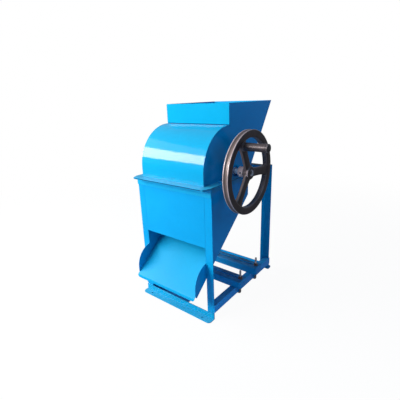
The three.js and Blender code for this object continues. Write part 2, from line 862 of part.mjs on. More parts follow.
// The rim's section, with its inner corners rounded off and the belt groove round the outside.
function wheelRim() {
  const x0 = wheelInner;
  const x1 = wheelInner + rimWidth;
  const middle = (x0 + x1) / 2;
  const soft = rimRound * (1 - Math.SQRT1_2);
  const profile = [
    [x0 + rimRound, rimInner],
    [x0 + soft, rimInner + soft],
    [x0, rimInner + rimRound],
    [x0, rimOuter - rimRound],
    [x0 + soft, rimOuter - soft],
    [middle - grooveTop / 2, rimOuter],
    [middle - grooveFloor / 2, rimOuter - grooveDepth],
    [middle + grooveFloor / 2, rimOuter - grooveDepth],
    [middle + grooveTop / 2, rimOuter],
    [x1 - soft, rimOuter - soft],
    [x1, rimOuter - rimRound],
    [x1, rimInner + rimRound],
    [x1 - soft, rimInner + soft],
    [x1 - rimRound, rimInner],
    [x0 + rimRound, rimInner],
  ];
  return turned(profile, [shaftY, shaftZ], 48);
}

// A spoke narrows from the hub to its neck and flares into the rim.
function wheelSpoke() {
  const root = hubFrontRadius / 2;
  const end = rimInner + rimRound - spokeBevel;
  const neck = (hubFrontRadius + rimInner) / 2;
  const shape = new THREE.Shape();
  shape.moveTo(-spokeRootHalf, root);
  shape.lineTo(spokeRootHalf, root);
  shape.quadraticCurveTo(spokeNeckHalf, hubFrontRadius, spokeNeckHalf, neck);
  shape.quadraticCurveTo(spokeNeckHalf, rimInner - rimWidth / 2, spokeFlareHalf, end);
  shape.lineTo(-spokeFlareHalf, end);
  shape.quadraticCurveTo(-spokeNeckHalf, rimInner - rimWidth / 2, -spokeNeckHalf, neck);
  shape.quadraticCurveTo(-spokeNeckHalf, hubFrontRadius, -spokeRootHalf, root);
  const x0 = wheelInner + (rimWidth - spokeThickness) / 2;
  return extruded(shape, alongX, x0 + spokeBevel, x0 + spokeThickness - spokeBevel, {
    bevelEnabled: true,
    bevelThickness: spokeBevel,
    bevelSize: spokeBevel,
    bevelSegments: 2,
    curveSegments: 5,
  });
}

// A solid at the handle's place on the first spoke after the top.
function handleCentre() {
  const angle = THREE.MathUtils.degToRad(spokeFirstAngle + 360 / spokeCount);
  return [shaftY + handleRadius * Math.cos(angle), shaftZ + handleRadius * Math.sin(angle)];
}

function setScrewHole(radius, from, to) {
  const x = (hubStart + wheelInner) / 2 - setScrewLength / 2;
  return roundShaft(rodAlongZ(x, 0, radius, from, to), setScrewAngle);
}

function handWheel() {
  const centre = [shaftY, shaftZ];
  const hub = turned(
    [
      [hubStart, 0],
      [hubStart, hubRearRadius],
      [wheelInner - rimRound, hubRearRadius + spokeBevel],
      [wheelInner, hubFrontRadius],
      [hubEnd, hubFrontRadius - spokeBevel],
      [hubEnd, 0],
    ],
    centre,
  );
  let wheel = wheelRim().add(hub);
  for (let i = 0; i < spokeCount; i += 1) {
    wheel = wheel.add(roundShaft(wheelSpoke(), spokeFirstAngle + (360 / spokeCount) * i));
  }
  const bossEnd = wheelInner + rimWidth - touch;
  wheel = wheel.add(rodAlongX(wheelInner + touch, bossEnd, handleBossRadius, handleCentre()));
  const through = [wheelInner - overrun, wheelInner + rimWidth + overrun];
  wheel = wheel.subtract(rodAlongX(...through, studRadius + touch, handleCentre()));
  wheel = wheel.subtract(
    rodAlongX(hubStart - overrun, hubEnd + overrun, shaftRadius + touch, centre),
  );
  const keyway = keyBlock(touch).add(keyBlock(touch).translate([keyLength, 0, 0]));
  return wheel.subtract(keyway).subtract(setScrewHole(setScrewRadius + touch, 0, 2 * hubRearRadius));
}

// The handle's stud: a domed head outside the grip, and a shank through the grip and the wheel's boss.
const gripStart = wheelInner + rimWidth + touch;
const gripEnd = handleEnd - studHeadLength - touch;
const handleNutStart = wheelInner - nutHeight;

function handleStud() {
  const dome = studHeadLength / 2;
  const profile = [
    [handleNutStart, 0],
    [handleNutStart, studRadius],
    [handleEnd - studHeadLength, studRadius],
    [handleEnd - studHeadLength, studHeadRadius],
    [handleEnd - dome, studHeadRadius],
    [handleEnd - dome / 3, studHeadRadius * studDomeShares[0]],
    [handleEnd, studHeadRadius * studDomeShares[1]],
    [handleEnd, 0],
  ];
  return turned(profile, handleCentre());
}

// The grip is a sleeve with a slight waist.
function handleGrip() {
  const bore = studRadius + touch;
  const third = (gripEnd - gripStart) / 3;
  const profile = [
    [gripStart, bore],
    [gripStart, gripRadius - gripRound],
    [gripStart + gripRound, gripRadius],
    [gripStart + third, gripWaistRadius],
    [gripEnd - third, gripWaistRadius],
    [gripEnd - gripRound, gripRadius],
    [gripEnd, gripRadius - gripRound],
    [gripEnd, bore],
    [gripStart, bore],
  ];
  return turned(profile, handleCentre());
}

// A hexagon across given flats, as an outline about a point.
function hexagon(a, b, acrossFlats) {
  const radius = acrossFlats / Math.sqrt(3);
  const points = [];
  for (let i = 0; i < 6; i += 1) {
    const angle = (Math.PI / 3) * i;
    points.push([a + radius * Math.cos(angle), b + radius * Math.sin(angle)]);
  }
  return polygon(points);
}

function handleNut() {
  const [y, z] = handleCentre();
  const flats = nutAcrossFlats * (studRadius / hookBoltRadius);
  const outside = extruded(hexagon(y, z, flats), alongX, handleNutStart, wheelInner);
  return outside.subtract(
    rodAlongX(handleNutStart - overrun, wheelInner + overrun, studRadius + touch, [y, z], 24),
  );
}

function addWheel() {
  addPiece("hand_wheel", handWheel(), castIron);
  addPiece("wheel_key", keyBlock(0), steel);
  const screwFoot = shaftRadius + touch;
  const screw = setScrewHole(setScrewRadius, screwFoot, screwFoot + setScrewLength);
  addPiece("wheel_set_screw", screw, darkSteel);
  addPiece("handle_stud", handleStud(), castIron);
  addPiece("handle_grip", handleGrip(), castIron);
  addPiece("handle_nut", handleNut(), darkSteel);
}

// A long plan with rounded corners, about a line along X.
function roundedPlan(half, halfWide, y, radius) {
  const shape = new THREE.Shape();
  const [x, across] = [half - radius, halfWide - radius];
  shape.absarc(x, y + across, radius, 0, Math.PI / 2, false);
  shape.absarc(-x, y + across, radius, Math.PI / 2, Math.PI, false);
  shape.absarc(-x, y - across, radius, Math.PI, 1.5 * Math.PI, false);
  shape.absarc(x, y - across, radius, 1.5 * Math.PI, 2 * Math.PI, false);
  return shape;
}

// A block's outline about a middle, its two upper corners rounded.
function arched(middle, half, bottom, top, radius) {
  const shape = new THREE.Shape();
  shape.moveTo(middle - half, bottom);
  shape.lineTo(middle + half, bottom);
  shape.absarc(middle + half - radius, top - radius, radius, 0, Math.PI / 2, false);
  shape.absarc(middle - half + radius, top - radius, radius, Math.PI / 2, Math.PI, false);
  return shape;
}

// A motor rail: a pressed tray open downwards, closed at its ends, with one long slot in its web.
function motorRail(y) {
  const form = (inset, bottom) => {
    const half = railLength / 2 - inset;
    const halfWide = railWidth / 2 - inset;
    const bend = railBend - inset;
    const top = railTop - inset;
    const options = { curveSegments: 3 };
    const along = extruded(arched(y, halfWide, bottom, top, bend), alongX, -half, half, options);
    const ends = arched(0, half, bottom, top, bend);
    const across = extruded(ends, alongY, y - railWidth, y + railWidth, options);
    const plan = roundedPlan(half, halfWide, y, railCornerRadius - inset);
    return along.intersect(across).intersect(extruded(plan, alongZ, bottom, top, options));
  };
  const slotRadius = railSlotWidth / 2;
  const slotHalf = railLength / 2 - railSlotEnd;
  const slot = extruded(
    roundedPlan(slotHalf, slotRadius, y, slotRadius),
    alongZ,
    railBottom,
    railTop + overrun,
  );
  return form(0, railBottom).subtract(form(railThickness, railBottom - overrun)).subtract(slot);
}

// A hook bolt: a straight shank that bends inwards under the side rail's lower edge.
function hookBolt(y) {
  const armZ = angleWidth - touch - hookBoltRadius;
  const route = new THREE.CurvePath();
  const bendTop = new THREE.Vector3(hookBoltX, y, armZ + hookBend);
  const bendCorner = new THREE.Vector3(hookBoltX, y, armZ);
  const bendEnd = new THREE.Vector3(hookBoltX - hookBend, y, armZ);
  route.add(new THREE.QuadraticBezierCurve3(bendTop, bendCorner, bendEnd));
  const section = circle(0, 0, hookBoltRadius);
  const bend = new THREE.ExtrudeGeometry(section, {
    steps: 5,
    extrudePath: route,
    curveSegments: 5,
  });
  const shank = rodAlongZ(hookBoltX, y, hookBoltRadius, armZ + hookBend - touch, hookBoltTop, 10);
  const armEnd = hookBoltX - hookBend + touch;
  const arm = rodAlongX(hookBoltX - hookReach, armEnd, hookBoltRadius, [y, armZ], 10);
  return solidOf(bend).add(shank).add(arm);
}

// A nut on its washer, on top of the rail.
function clampNut(y) {
  const base = railTop + touch;
  const nutBase = base + washerThickness;
  const washer = rodAlongZ(hookBoltX, y, washerRadius, base, nutBase, 16);
  const nut = extruded(hexagon(hookBoltX, y, nutAcrossFlats), alongZ, nutBase, nutBase + nutHeight);
  const hole = rodAlongZ(hookBoltX, y, hookBoltRadius + touch, base - overrun, nutBase + 2 * nutHeight);
  return washer.add(nut).subtract(hole);
}

function addMotorRails() {
  for (const [place, y] of [["front", frontRailY], ["rear", rearRailY]]) {
    addPiece(`motor_rail_${place}`, motorRail(y), barePaint);
    addPair(`hook_bolt_${place}`, hookBolt(y), rustySteel);
    addPair(`clamp_nut_${place}`, clampNut(y), rustySteel);
  }
}

addFrame();
addBox();
addHood();
addBearings();
addRotor();
addGrate();
addWheel();
addMotorRails();

// The part's origin is the middle of its bounding box, at the floor.
const bounds = new THREE.Box3().setFromObject(machine);
const centre = bounds.getCenter(new THREE.Vector3());
machine.position.set(-centre.x, -centre.y, -bounds.min.z);

export default machine;
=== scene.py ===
import itertools
import json
import math

import bmesh
import bpy
from mathutils import Matrix, Vector


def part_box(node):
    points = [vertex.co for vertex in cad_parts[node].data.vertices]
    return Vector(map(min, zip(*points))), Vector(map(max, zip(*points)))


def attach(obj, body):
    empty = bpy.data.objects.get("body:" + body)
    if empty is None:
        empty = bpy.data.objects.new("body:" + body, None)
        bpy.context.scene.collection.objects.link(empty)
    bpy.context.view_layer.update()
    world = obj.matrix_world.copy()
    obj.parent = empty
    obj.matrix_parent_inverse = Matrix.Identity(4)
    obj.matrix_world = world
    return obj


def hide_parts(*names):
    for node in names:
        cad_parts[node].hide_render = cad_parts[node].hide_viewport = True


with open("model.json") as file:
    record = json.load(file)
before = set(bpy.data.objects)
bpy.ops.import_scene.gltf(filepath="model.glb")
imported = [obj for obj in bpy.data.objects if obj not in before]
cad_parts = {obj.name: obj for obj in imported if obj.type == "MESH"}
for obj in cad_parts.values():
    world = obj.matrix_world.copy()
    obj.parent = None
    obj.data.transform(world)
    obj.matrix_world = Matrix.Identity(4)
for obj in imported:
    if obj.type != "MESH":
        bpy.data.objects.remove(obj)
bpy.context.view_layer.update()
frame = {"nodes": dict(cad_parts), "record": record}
nodes = frame["nodes"]
scene = bpy.context.scene

# The working frame of the CAD source, in millimetres: X 0 in the middle of the frame, Y 0 at the
# legs' front, Z 0 on the floor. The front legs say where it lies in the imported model.
left_low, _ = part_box("leg_front_left")
_, right_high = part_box("leg_front_right")
ORIGIN = Vector(((left_low[0] + right_high[0]) / 2, left_low[1], 0.0))


def at(x, y, z):
    """A place in the working frame, as metres in the model."""
    return ORIGIN + Vector((x, y, z)) / 1000.0


# Sizes and places of the source's solids, in millimetres.
GAP = 0.3
ANGLE_THICKNESS = 4
HALF_WIDTH = 231.0
LEG_INNER = 191.0
FRAME_DEPTH = 575.0
FRAME_TOP = 659.0
FLANGE_TOP = 663.3
HOOD_BOTTOM = 663.6
BEARING_X = 211.0
BEARING_BASE_HEIGHT = 14
SHAFT_Y = 198.0
SHAFT_Z = 698.0
DRUM_CENTRE_Z = 708
HOPPER_FRONT = 202.0
WHEEL_INNER = 281.0
RIM_WIDTH = 30.0
RIM_OUTER = 191.5
RIM_INNER = 156.5
HUB_START = 250.0
SPOKE_COUNT = 3
FIRST_SPOKE = -6
HANDLE_RADIUS = 137.0
HANDLE_ANGLE = math.radians(114)
HANDLE_END = 421.0
STUD_HEAD_LENGTH = 10
HANDLE_Y = SHAFT_Y + HANDLE_RADIUS * math.cos(HANDLE_ANGLE)
HANDLE_Z = SHAFT_Z + HANDLE_RADIUS * math.sin(HANDLE_ANGLE)
STUD_HOLE_RADIUS = 8.3
SIDE_RAIL_BOTTOM = 40
RAIL_TOP = 120.3
RAIL_YS = {"front": 220.0, "rear": 386.0}
HOOK_X = 243.0
FOOT_HOLE_X = 175.0
FOOT_HOLE_YS = (-24.0, 599.0)

UP = (0, 0, 1)
DOWN = (0, 0, -1)
SHAFT_CENTRE = at(0, SHAFT_Y, SHAFT_Z)
DRUM_MIDDLE = at(0, 0, DRUM_CENTRE_Z)

# Camera, fitted to the photograph. Its focal length and the photograph's width are in pixels.
PHOTO_WIDTH = 400.0
FOCAL_LENGTH = 313.3
SENSOR_WIDTH = 36.0
CAMERA_PLACE = (985, -1014, 1030)
CAMERA_FORWARD = (-0.5956, 0.7398, -0.3128)
CAMERA_RIGHT = (0.7856, 0.6178, -0.0346)


def add_object(name, data):
    obj = bpy.data.objects.new(name, data)
    scene.collection.objects.link(obj)
    return obj


def make_camera():
    data = bpy.data.cameras.new("camera")
    data.sensor_width = SENSOR_WIDTH
    data.lens = SENSOR_WIDTH * FOCAL_LENGTH / PHOTO_WIDTH
    data.clip_end = 100.0
    camera = add_object("camera", data)
    forward = Vector(CAMERA_FORWARD).normalized()
    right = Vector(CAMERA_RIGHT)
    right = (right - forward * right.dot(forward)).normalized()
    down = forward.cross(right).normalized()
    place = at(*CAMERA_PLACE)
    rows = [(right[i], -down[i], -forward[i], place[i]) for i in range(3)]
    camera.matrix_world = Matrix(rows + [(0, 0, 0, 1)])
    bpy.context.scene.camera = camera


make_camera()
scene.view_settings.view_transform = "Standard"


# Lights. The drum mirrors the key light as its white band and the upper key light as the paler
# band above it.
LIGHT_DISTANCE = 3.0
KEY_RISE = 0.09
UPPER_KEY_RISE = 0.9
UPPER_KEY_SHIFT = 0.68
SIDE_COLOUR = (0.24, 0.57, 1.0)


def area_light(name, place, target, size, power, colour=(1, 1, 1)):
    data = bpy.data.lights.new(name, "AREA")
    data.shape = "RECTANGLE"
    data.size, data.size_y = size
    data.energy = power
    data.color = colour
    lamp = add_object(name, data)
    lamp.location = place
    lamp.rotation_euler = (target - place).to_track_quat("-Z", "Y").to_euler()


def make_lights():
    key = Vector((-0.675, -0.655, 0.34)).normalized()
    key_lift = (Vector(UP) - key * key.z).normalized()
    key_along = Vector((-key.y, key.x, 0)).normalized()
    key_place = DRUM_MIDDLE + key * LIGHT_DISTANCE + key_lift * KEY_RISE
    upper_place = key_place + key_lift * UPPER_KEY_RISE - key_along * UPPER_KEY_SHIFT
    top = Vector((-0.06, -0.70, 1.35)).normalized()
    area_light("key", key_place, DRUM_MIDDLE, (3.5, 1.0), 169)
    area_light("key_upper", upper_place, DRUM_MIDDLE, (2.6, 0.78), 8)
    area_light("top", DRUM_MIDDLE + top * LIGHT_DISTANCE, DRUM_MIDDLE, (2.6, 2.0), 17)
    area_light("side", at(2500, 350, 2200), at(200, 250, 850), (1.0, 2.0), 13.5, SIDE_COLOUR)


make_lights()


def grey(value):
    return (value, value, value, 1)


def srgb(r, g, b):
    def linear(v):
        v = v / 255.0
        return v / 12.92 if v <= 0.04045 else ((v + 0.055) / 1.055) ** 2.4
    return (linear(r), linear(g), linear(b))


class Nodes:
    """Short ways to add nodes to a tree."""

    def __init__(self, tree):
        self.tree = tree

    def node(self, kind, **settings):
        made = self.tree.nodes.new(kind)
        for key, value in settings.items():
            setattr(made, key, value)
        return made

    def link(self, a, b):
        self.tree.links.new(a, b)

    def feed(self, socket, value):
        """Gives an input a number, a colour or another node's output."""
        if isinstance(value, (int, float)):
            socket.default_value = value
        elif isinstance(value, tuple):
            socket.default_value = (*value[:3], 1)
        else:
            self.link(value, socket)

    def math(self, operation, a, b=0.0, clamp=False):
        made = self.node("ShaderNodeMath", operation=operation, use_clamp=clamp)
        self.feed(made.inputs[0], a)
        self.feed(made.inputs[1], b)
        return made.outputs[0]

    def light(self, kind, colour, strength=1.0):
        """A background or an emission."""
        made = self.node(kind)
        self.feed(made.inputs["Color"], colour)
        self.feed(made.inputs["Strength"], strength)
        return made.outputs[0]

    def mix_shaders(self, share, a, b):
        made = self.node("ShaderNodeMixShader")
        for socket, value in zip(made.inputs, (share, a, b)):
            self.link(value, socket)
        return made.outputs[0]


# The world is white where the camera sees it, partly so in reflections, and a dim blue as light.
WORLD_LIGHT = (0.36, 0.62, 1.0)
WORLD_STRENGTH = 0.20
WORLD_MIRRORED = 0.29
WHITE = (1.0, 1.0, 1.0)


def make_world():
    world = bpy.data.worlds.new("studio")
    scene.world = world
    world.use_nodes = True
    world.node_tree.nodes.clear()
    w = Nodes(world.node_tree)
    path = w.node("ShaderNodeLightPath").outputs
    seen = w.math("MAXIMUM", path["Is Camera Ray"], path["Is Transmission Ray"])
    seen = w.math("MAXIMUM", seen, w.math("MULTIPLY", path["Is Glossy Ray"], WORLD_MIRRORED))
    dim = w.light("ShaderNodeBackground", WORLD_LIGHT, WORLD_STRENGTH)
    white = w.light("ShaderNodeBackground", WHITE)
    w.link(w.mix_shaders(seen, dim, white), w.node("ShaderNodeOutputWorld").inputs[0])


make_world()


class Shader(Nodes):
    """A principled material and short ways to add nodes to it."""

    def __init__(self, name):
        self.material = bpy.data.materials.new(name)
        self.material.use_nodes = True
        super().__init__(self.material.node_tree)
        self.bsdf = self.tree.nodes["Principled BSDF"]
        self.coords = self.node("ShaderNodeTexCoord").outputs["Object"]

    def noise(self, scale, detail, roughness=0.55, stretch=(1, 1, 1)):
        mapping = self.node("ShaderNodeMapping")
        mapping.inputs["Scale"].default_value = stretch
        self.link(self.coords, mapping.inputs["Vector"])
        made = self.node("ShaderNodeTexNoise")
        made.inputs["Scale"].default_value = scale
        made.inputs["Detail"].default_value = detail
        made.inputs["Roughness"].default_value = roughness
        self.link(mapping.outputs[0], made.inputs["Vector"])
        return made.outputs["Fac"]

    def ramp(self, value, stops):
        """Greys over a value, between two stops [value, grey]."""
        made = self.node("ShaderNodeValToRGB")
        for element, (position, level) in zip(made.color_ramp.elements, stops):
            element.position, element.color = position, grey(level)
        self.link(value, made.inputs["Fac"])
        return made.outputs["Color"]

    def mix(self, factor, a, b, blend="MIX"):
        made = self.node("ShaderNodeMix", data_type="RGBA", blend_type=blend)
        for index, value in ((0, factor), (6, a), (7, b)):
            self.feed(made.inputs[index], value)
        return made.outputs[2]

    def smoothstep(self, value, low, high):
        made = self.node("ShaderNodeMapRange", interpolation_type="SMOOTHSTEP")
        self.link(value, made.inputs["Value"])
        made.inputs["From Min"].default_value = low
        made.inputs["From Max"].default_value = high
        return made.outputs["Result"]

    def part(self, vector, axis):
        """One axis of a vector."""
        split = self.node("ShaderNodeSeparateXYZ")
        self.link(vector, split.inputs[0])
        return split.outputs[axis]

    def normal(self, axis):
        return self.part(self.node("ShaderNodeNewGeometry").outputs["Normal"], axis)

    def edge(self, radius, low, high):
        """1 along outer edges and corners, 0 on flat faces."""
        bevel = self.node("ShaderNodeBevel", samples=4)
        bevel.inputs["Radius"].default_value = radius
        geometry = self.node("ShaderNodeNewGeometry")
        dot = self.node("ShaderNodeVectorMath", operation="DOT_PRODUCT")
        self.link(bevel.outputs[0], dot.inputs[0])
        self.link(geometry.outputs["Normal"], dot.inputs[1])
        return self.ramp(dot.outputs["Value"], [(low, 1.0), (high, 0.0)])

    def from_line(self, first, second, low, high):
        """0 inside one distance from a line along an axis and 1 outside another, in metres. Two
        pairs, each an axis and a place along it, say where the line is."""
        squares = []
        for axis, place in (first, second):
            off = self.math("SUBTRACT", self.part(self.coords, axis), place)
            squares.append(self.math("MULTIPLY", off, off))
        distance = self.math("SQRT", self.math("ADD", *squares))
        return self.smoothstep(distance, low, high)

    def between(self, axis, low, high, soft):
        """1 between two places along an axis and 0 beyond them, in metres, with a soft step."""
        place = self.part(self.coords, axis)
        rise = self.smoothstep(place, low - soft, low)
        return self.math("MULTIPLY", rise, self.smoothstep(place, high + soft, high))

    def bumps(self, *layers):
        previous = None
        for height, strength, distance in layers:
            bump = self.node("ShaderNodeBump")
            bump.inputs["Strength"].default_value = strength
            bump.inputs["Distance"].default_value = distance
            self.link(height, bump.inputs["Height"])
            if previous is not None:
                self.link(previous, bump.inputs["Normal"])
            previous = bump.outputs[0]
        self.link(previous, self.bsdf.inputs["Normal"])

    def set(self, **values):
        for key, value in values.items():
            self.feed(self.bsdf.inputs[key.replace("_", " ")], value)


# Paints
BROAD = [(0.3, 0.0), (0.7, 1.0)]
# Pale blue of the painted highlight along the enamel's edges.
PAINTED_EDGE_HIGHLIGHT = srgb(92, 200, 245)
CHIPPED = srgb(120, 118, 112)
# Dark blue of the painted shade where two parts meet.
PAINTED_SEAM_SHADE = srgb(4, 66, 116)
ENAMEL_TINT = (1.0, 0.72, 0.74)
DULL = grey(0.8)


def enamel(name, base, deep, dust, dust_amount, gloss, wear,
           dents=0.10, dent_scale=14, dent_depth=0.0005, shine=0.32, seam_shade=None):
    """Sprayed enamel on steel: slight mottling, orange peel, dust on what faces up, chipped edges
    and a painted highlight along the edges.
    A seam shade is painted shade, a dark blue line where two parts meet: its lower and upper
    height and its softness, in metres."""
    s = Shader(name)
    cloud = s.noise(3.5, 3)
    fine = s.noise(60, 4)
    peel = s.noise(420, 2)
    speck = s.noise(900, 3)
    colour = s.mix(s.ramp(cloud, BROAD), deep, base)
    colour = s.mix(0.06, colour, s.ramp(fine, [(0.3, 0.55), (0.7, 1.0)]), "MULTIPLY")
    grime = s.ramp(s.noise(9, 6, 0.7), [(0.42, 0.0), (0.75, 1.0)])
    grime = s.math("ADD", s.math("MULTIPLY", grime, dust_amount), dust_amount * 0.55)
    up = s.ramp(s.normal("Z"), [(0.35, 0.0), (0.9, 1.0)])
    dusty = s.math("MULTIPLY", up, grime, clamp=True)
    colour = s.mix(dusty, colour, dust)
    edge = s.edge(0.0012, 0.80, 0.97)
    chips = s.math("MULTIPLY", edge, s.ramp(s.noise(140, 5, 0.7), [(0.50, 0.0), (0.62, wear)]))
    # Painted highlight: every edge is mixed a third of the way towards a pale blue.
    colour = s.mix(s.math("MULTIPLY", edge, 0.35), colour, PAINTED_EDGE_HIGHLIGHT)
    colour = s.mix(chips, colour, CHIPPED)
    if seam_shade:
        # Painted shade: a dark blue line between two heights, where two parts meet.
        colour = s.mix(s.between("Z", *seam_shade), colour, PAINTED_SEAM_SHADE)
    wiped = s.ramp(s.noise(25, 5, 0.65), [(0.35, 0.0), (0.7, 1.0)])
    rough = s.mix(wiped, grey(gloss), grey(gloss + 0.05))
    rough = s.mix(dusty, rough, DULL)
    specks = s.math("MULTIPLY", s.ramp(speck, [(0.62, 0.0), (0.72, 1.0)]), 0.25)
    rough = s.mix(specks, rough, grey(0.5))
    s.set(Base_Color=colour, Roughness=rough, Specular_IOR_Level=shine, Specular_Tint=ENAMEL_TINT)
    wave = s.noise(dent_scale, 2)
    s.bumps((wave, dents, dent_depth), (peel, 0.08, 0.00008), (fine, 0.05, 0.0001))
    return s.material


BLUE = srgb(13, 166, 219)
DEEP = srgb(8, 157, 211)
BLUE_DUST = srgb(112, 150, 178)
FOOT_BLUE = srgb(14, 177, 221)
FOOT_DEEP = srgb(10, 167, 209)
FOOT_DUST = srgb(104, 178, 208)
# Painted shade where the hopper's front wall meets the drum, and under the hood's flange where it
# meets the frame.
HOPPER_SEAM_SHADE = (0.9030, 0.9070, 0.0006)
FLANGE_SEAM_SHADE = (0.6572, 0.6607, 0.0005)

blue_paint = enamel("blue_paint", BLUE, DEEP, BLUE_DUST,
                    dust_amount=0.10, gloss=0.09, wear=0.35, shine=0.18)
wall_paint = enamel("hopper_blue_paint", srgb(14, 173, 215), srgb(10, 164, 207), BLUE_DUST,
                    dust_amount=0.10, gloss=0.09, wear=0.35, shine=0.18, seam_shade=HOPPER_SEAM_SHADE)
dusty_paint = enamel("worn_blue_paint", srgb(16, 168, 226), srgb(11, 152, 212),
                     srgb(58, 98, 130), dust_amount=0.9, gloss=0.26, wear=0.5)
chute_paint = enamel("chute_blue_paint", srgb(12, 170, 218), srgb(8, 161, 210), BLUE_DUST,
                     dust_amount=0.04, gloss=0.34, wear=0.0, shine=0.09)
drum_paint = enamel("drum_blue_paint", srgb(12, 173, 217), srgb(8, 164, 209), BLUE_DUST,
                    dust_amount=0.03, gloss=0.08, wear=0.35,
                    dents=0.95, dent_scale=8, dent_depth=0.0014, shine=0.36)
foot_paint = enamel("foot_blue_paint", FOOT_BLUE, FOOT_DEEP, FOOT_DUST,
                    dust_amount=0.26, gloss=0.22, wear=0.6)
flange_paint = enamel("flange_blue_paint", FOOT_BLUE, FOOT_DEEP, FOOT_DUST,
                      dust_amount=0.26, gloss=0.22, wear=0.6, seam_shade=FLANGE_SEAM_SHADE)
ring_paint = enamel("dusty_ring_paint", srgb(13, 168, 212), srgb(10, 158, 200),
                    srgb(126, 118, 110), dust_amount=1.5, gloss=0.22, wear=0.6)
# Painted light: a lighter copy of the blue paint for parts that lie in shade, the side rails, the
# rear foot rail and the bearings.
rail_paint_painted_light = enamel("frame_blue_paint_painted_light", srgb(14, 182, 246), srgb(10, 170, 234),
                    srgb(64, 100, 130), dust_amount=0.6, gloss=0.16, wear=0.5)


# Irons and steels
DARK_END = srgb(26, 22, 23)
# Paler brown-grey of the painted sheen on the cast iron's flanks.
PAINTED_FLANK_SHEEN = srgb(130, 112, 106)


def iron(name, dark, light, worn, edge, rough, metal, band=None, dark_ends=False):
    """Cast iron under oil and old primer: grain, brown patches, and bare metal where it is
    handled, on edges and ridges, where it also serves as a painted highlight. With a band, faces
    that turn away from X also get a paler painted sheen.
    A band is a line along X and two distances from it: beyond them the belt has wiped the rim."""
    s = Shader(name)
    patches = s.noise(16, 6, 0.65)
    grain = s.noise(260, 5, 0.7)
    coarse = s.noise(70, 4, 0.6)
    colour = s.mix(s.ramp(patches, [(0.35, 0.0), (0.68, 1.0)]), dark, light)
    colour = s.mix(0.35, colour, s.ramp(grain, [(0.3, 0.5), (0.7, 1.15)]), "MULTIPLY")
    pointiness = s.node("ShaderNodeNewGeometry").outputs["Pointiness"]
    # Partly painted highlight: convex ridges get the bare worn colour, as wear and as highlight.
    ridge_wear_and_highlight = s.ramp(pointiness, [(0.515, 0.0), (0.56, 1.0)])
    handled = s.math("MAXIMUM", s.edge(0.004, *edge), ridge_wear_and_highlight)
    rub = s.math("MULTIPLY", handled, s.ramp(coarse, [(0.30, 0.25), (0.60, 1.0)]), clamp=True)
    aside = s.math("ABSOLUTE", s.normal("X"))
    if dark_ends:
        end = s.ramp(aside, [(0.75, 0.0), (0.92, 0.9)])
        colour = s.mix(end, colour, DARK_END)
        rub = s.math("MULTIPLY", rub, s.math("SUBTRACT", 1.0, end))
    if band:
        beside = s.ramp(aside, [(0.45, 1.0), (0.85, 0.0)])
        # Painted sheen: faces that turn away from X get a paler brown-grey.
        colour = s.mix(s.math("MULTIPLY", beside, 0.7), colour, PAINTED_FLANK_SHEEN)
        wiped = s.math("MULTIPLY", s.from_line(*band), beside)
        wiped = s.math("MULTIPLY", wiped, s.ramp(coarse, [(0.25, 0.6), (0.60, 0.9)]))
        rub = s.math("MAXIMUM", rub, wiped)
    colour = s.mix(rub, colour, worn)
    roughness = s.mix(rub, grey(rough), grey(0.36))
    roughness = s.mix(0.25, roughness, s.ramp(grain, [(0.3, 0.4), (0.7, 1.0)]), "MULTIPLY")
    metallic = s.math("ADD", s.math("MULTIPLY", rub, 0.3 - metal), metal, clamp=True)
    s.set(Base_Color=colour, Roughness=roughness, Metallic=metallic)
    s.bumps((coarse, 0.25, 0.0006), (grain, 0.35, 0.00025))
    return s.material


RIM_BAND = (("Y", SHAFT_CENTRE.y), ("Z", SHAFT_CENTRE.z), 0.1896, 0.1906)
cast_iron = iron("cast_iron", srgb(48, 34, 33), srgb(80, 56, 52), srgb(214, 192, 186),
                 edge=(0.80, 0.985), rough=0.36, metal=0.2, band=RIM_BAND)
grip_iron = iron("grip_iron", srgb(66, 57, 58), srgb(94, 82, 82), srgb(168, 156, 154),
                 edge=(0.72, 0.97), rough=0.42, metal=0.4, dark_ends=True)
# Painted light: a very pale copy of the iron for the bare hub, which lies in shade.
bare_hub_iron_painted_light = iron("bare_hub_iron_painted_light", srgb(224, 190, 182), srgb(240, 214, 206), srgb(246, 230, 224),
                edge=(0.8, 0.98), rough=0.34, metal=0.15)


def turned_steel(name, base, rough):
    """Steel with fine tool marks round the X axis, a little tarnish and dull ends. It is barely
    metallic, so a pale base colour shows as a painted sheen.
    """
    s = Shader(name)
    marks = s.noise(900, 3, 0.6, stretch=(1.0, 0.04, 0.04))
    tarnish = s.noise(30, 5, 0.65)
    colour = s.mix(s.ramp(tarnish, [(0.45, 0.0), (0.8, 0.7)]), base, srgb(120, 108, 98))
    roughness = s.ramp(marks, [(0.3, rough - 0.08), (0.7, rough + 0.14)])
    ends = s.ramp(s.math("ABSOLUTE", s.normal("X")), BROAD)
    colour = s.mix(ends, colour, srgb(40, 33, 33))
    metallic = s.math("MULTIPLY", s.math("SUBTRACT", 1.0, ends), 0.15)
    s.set(Base_Color=colour, Roughness=roughness, Metallic=metallic)
    s.bumps((marks, 0.18, 0.0001))
    return s.material


# Painted sheen: the bright steel's reflection is painted into a pale blue-white colour, which
# shows mostly as diffuse colour.
steel = turned_steel("steel", srgb(206, 220, 240), 0.34)


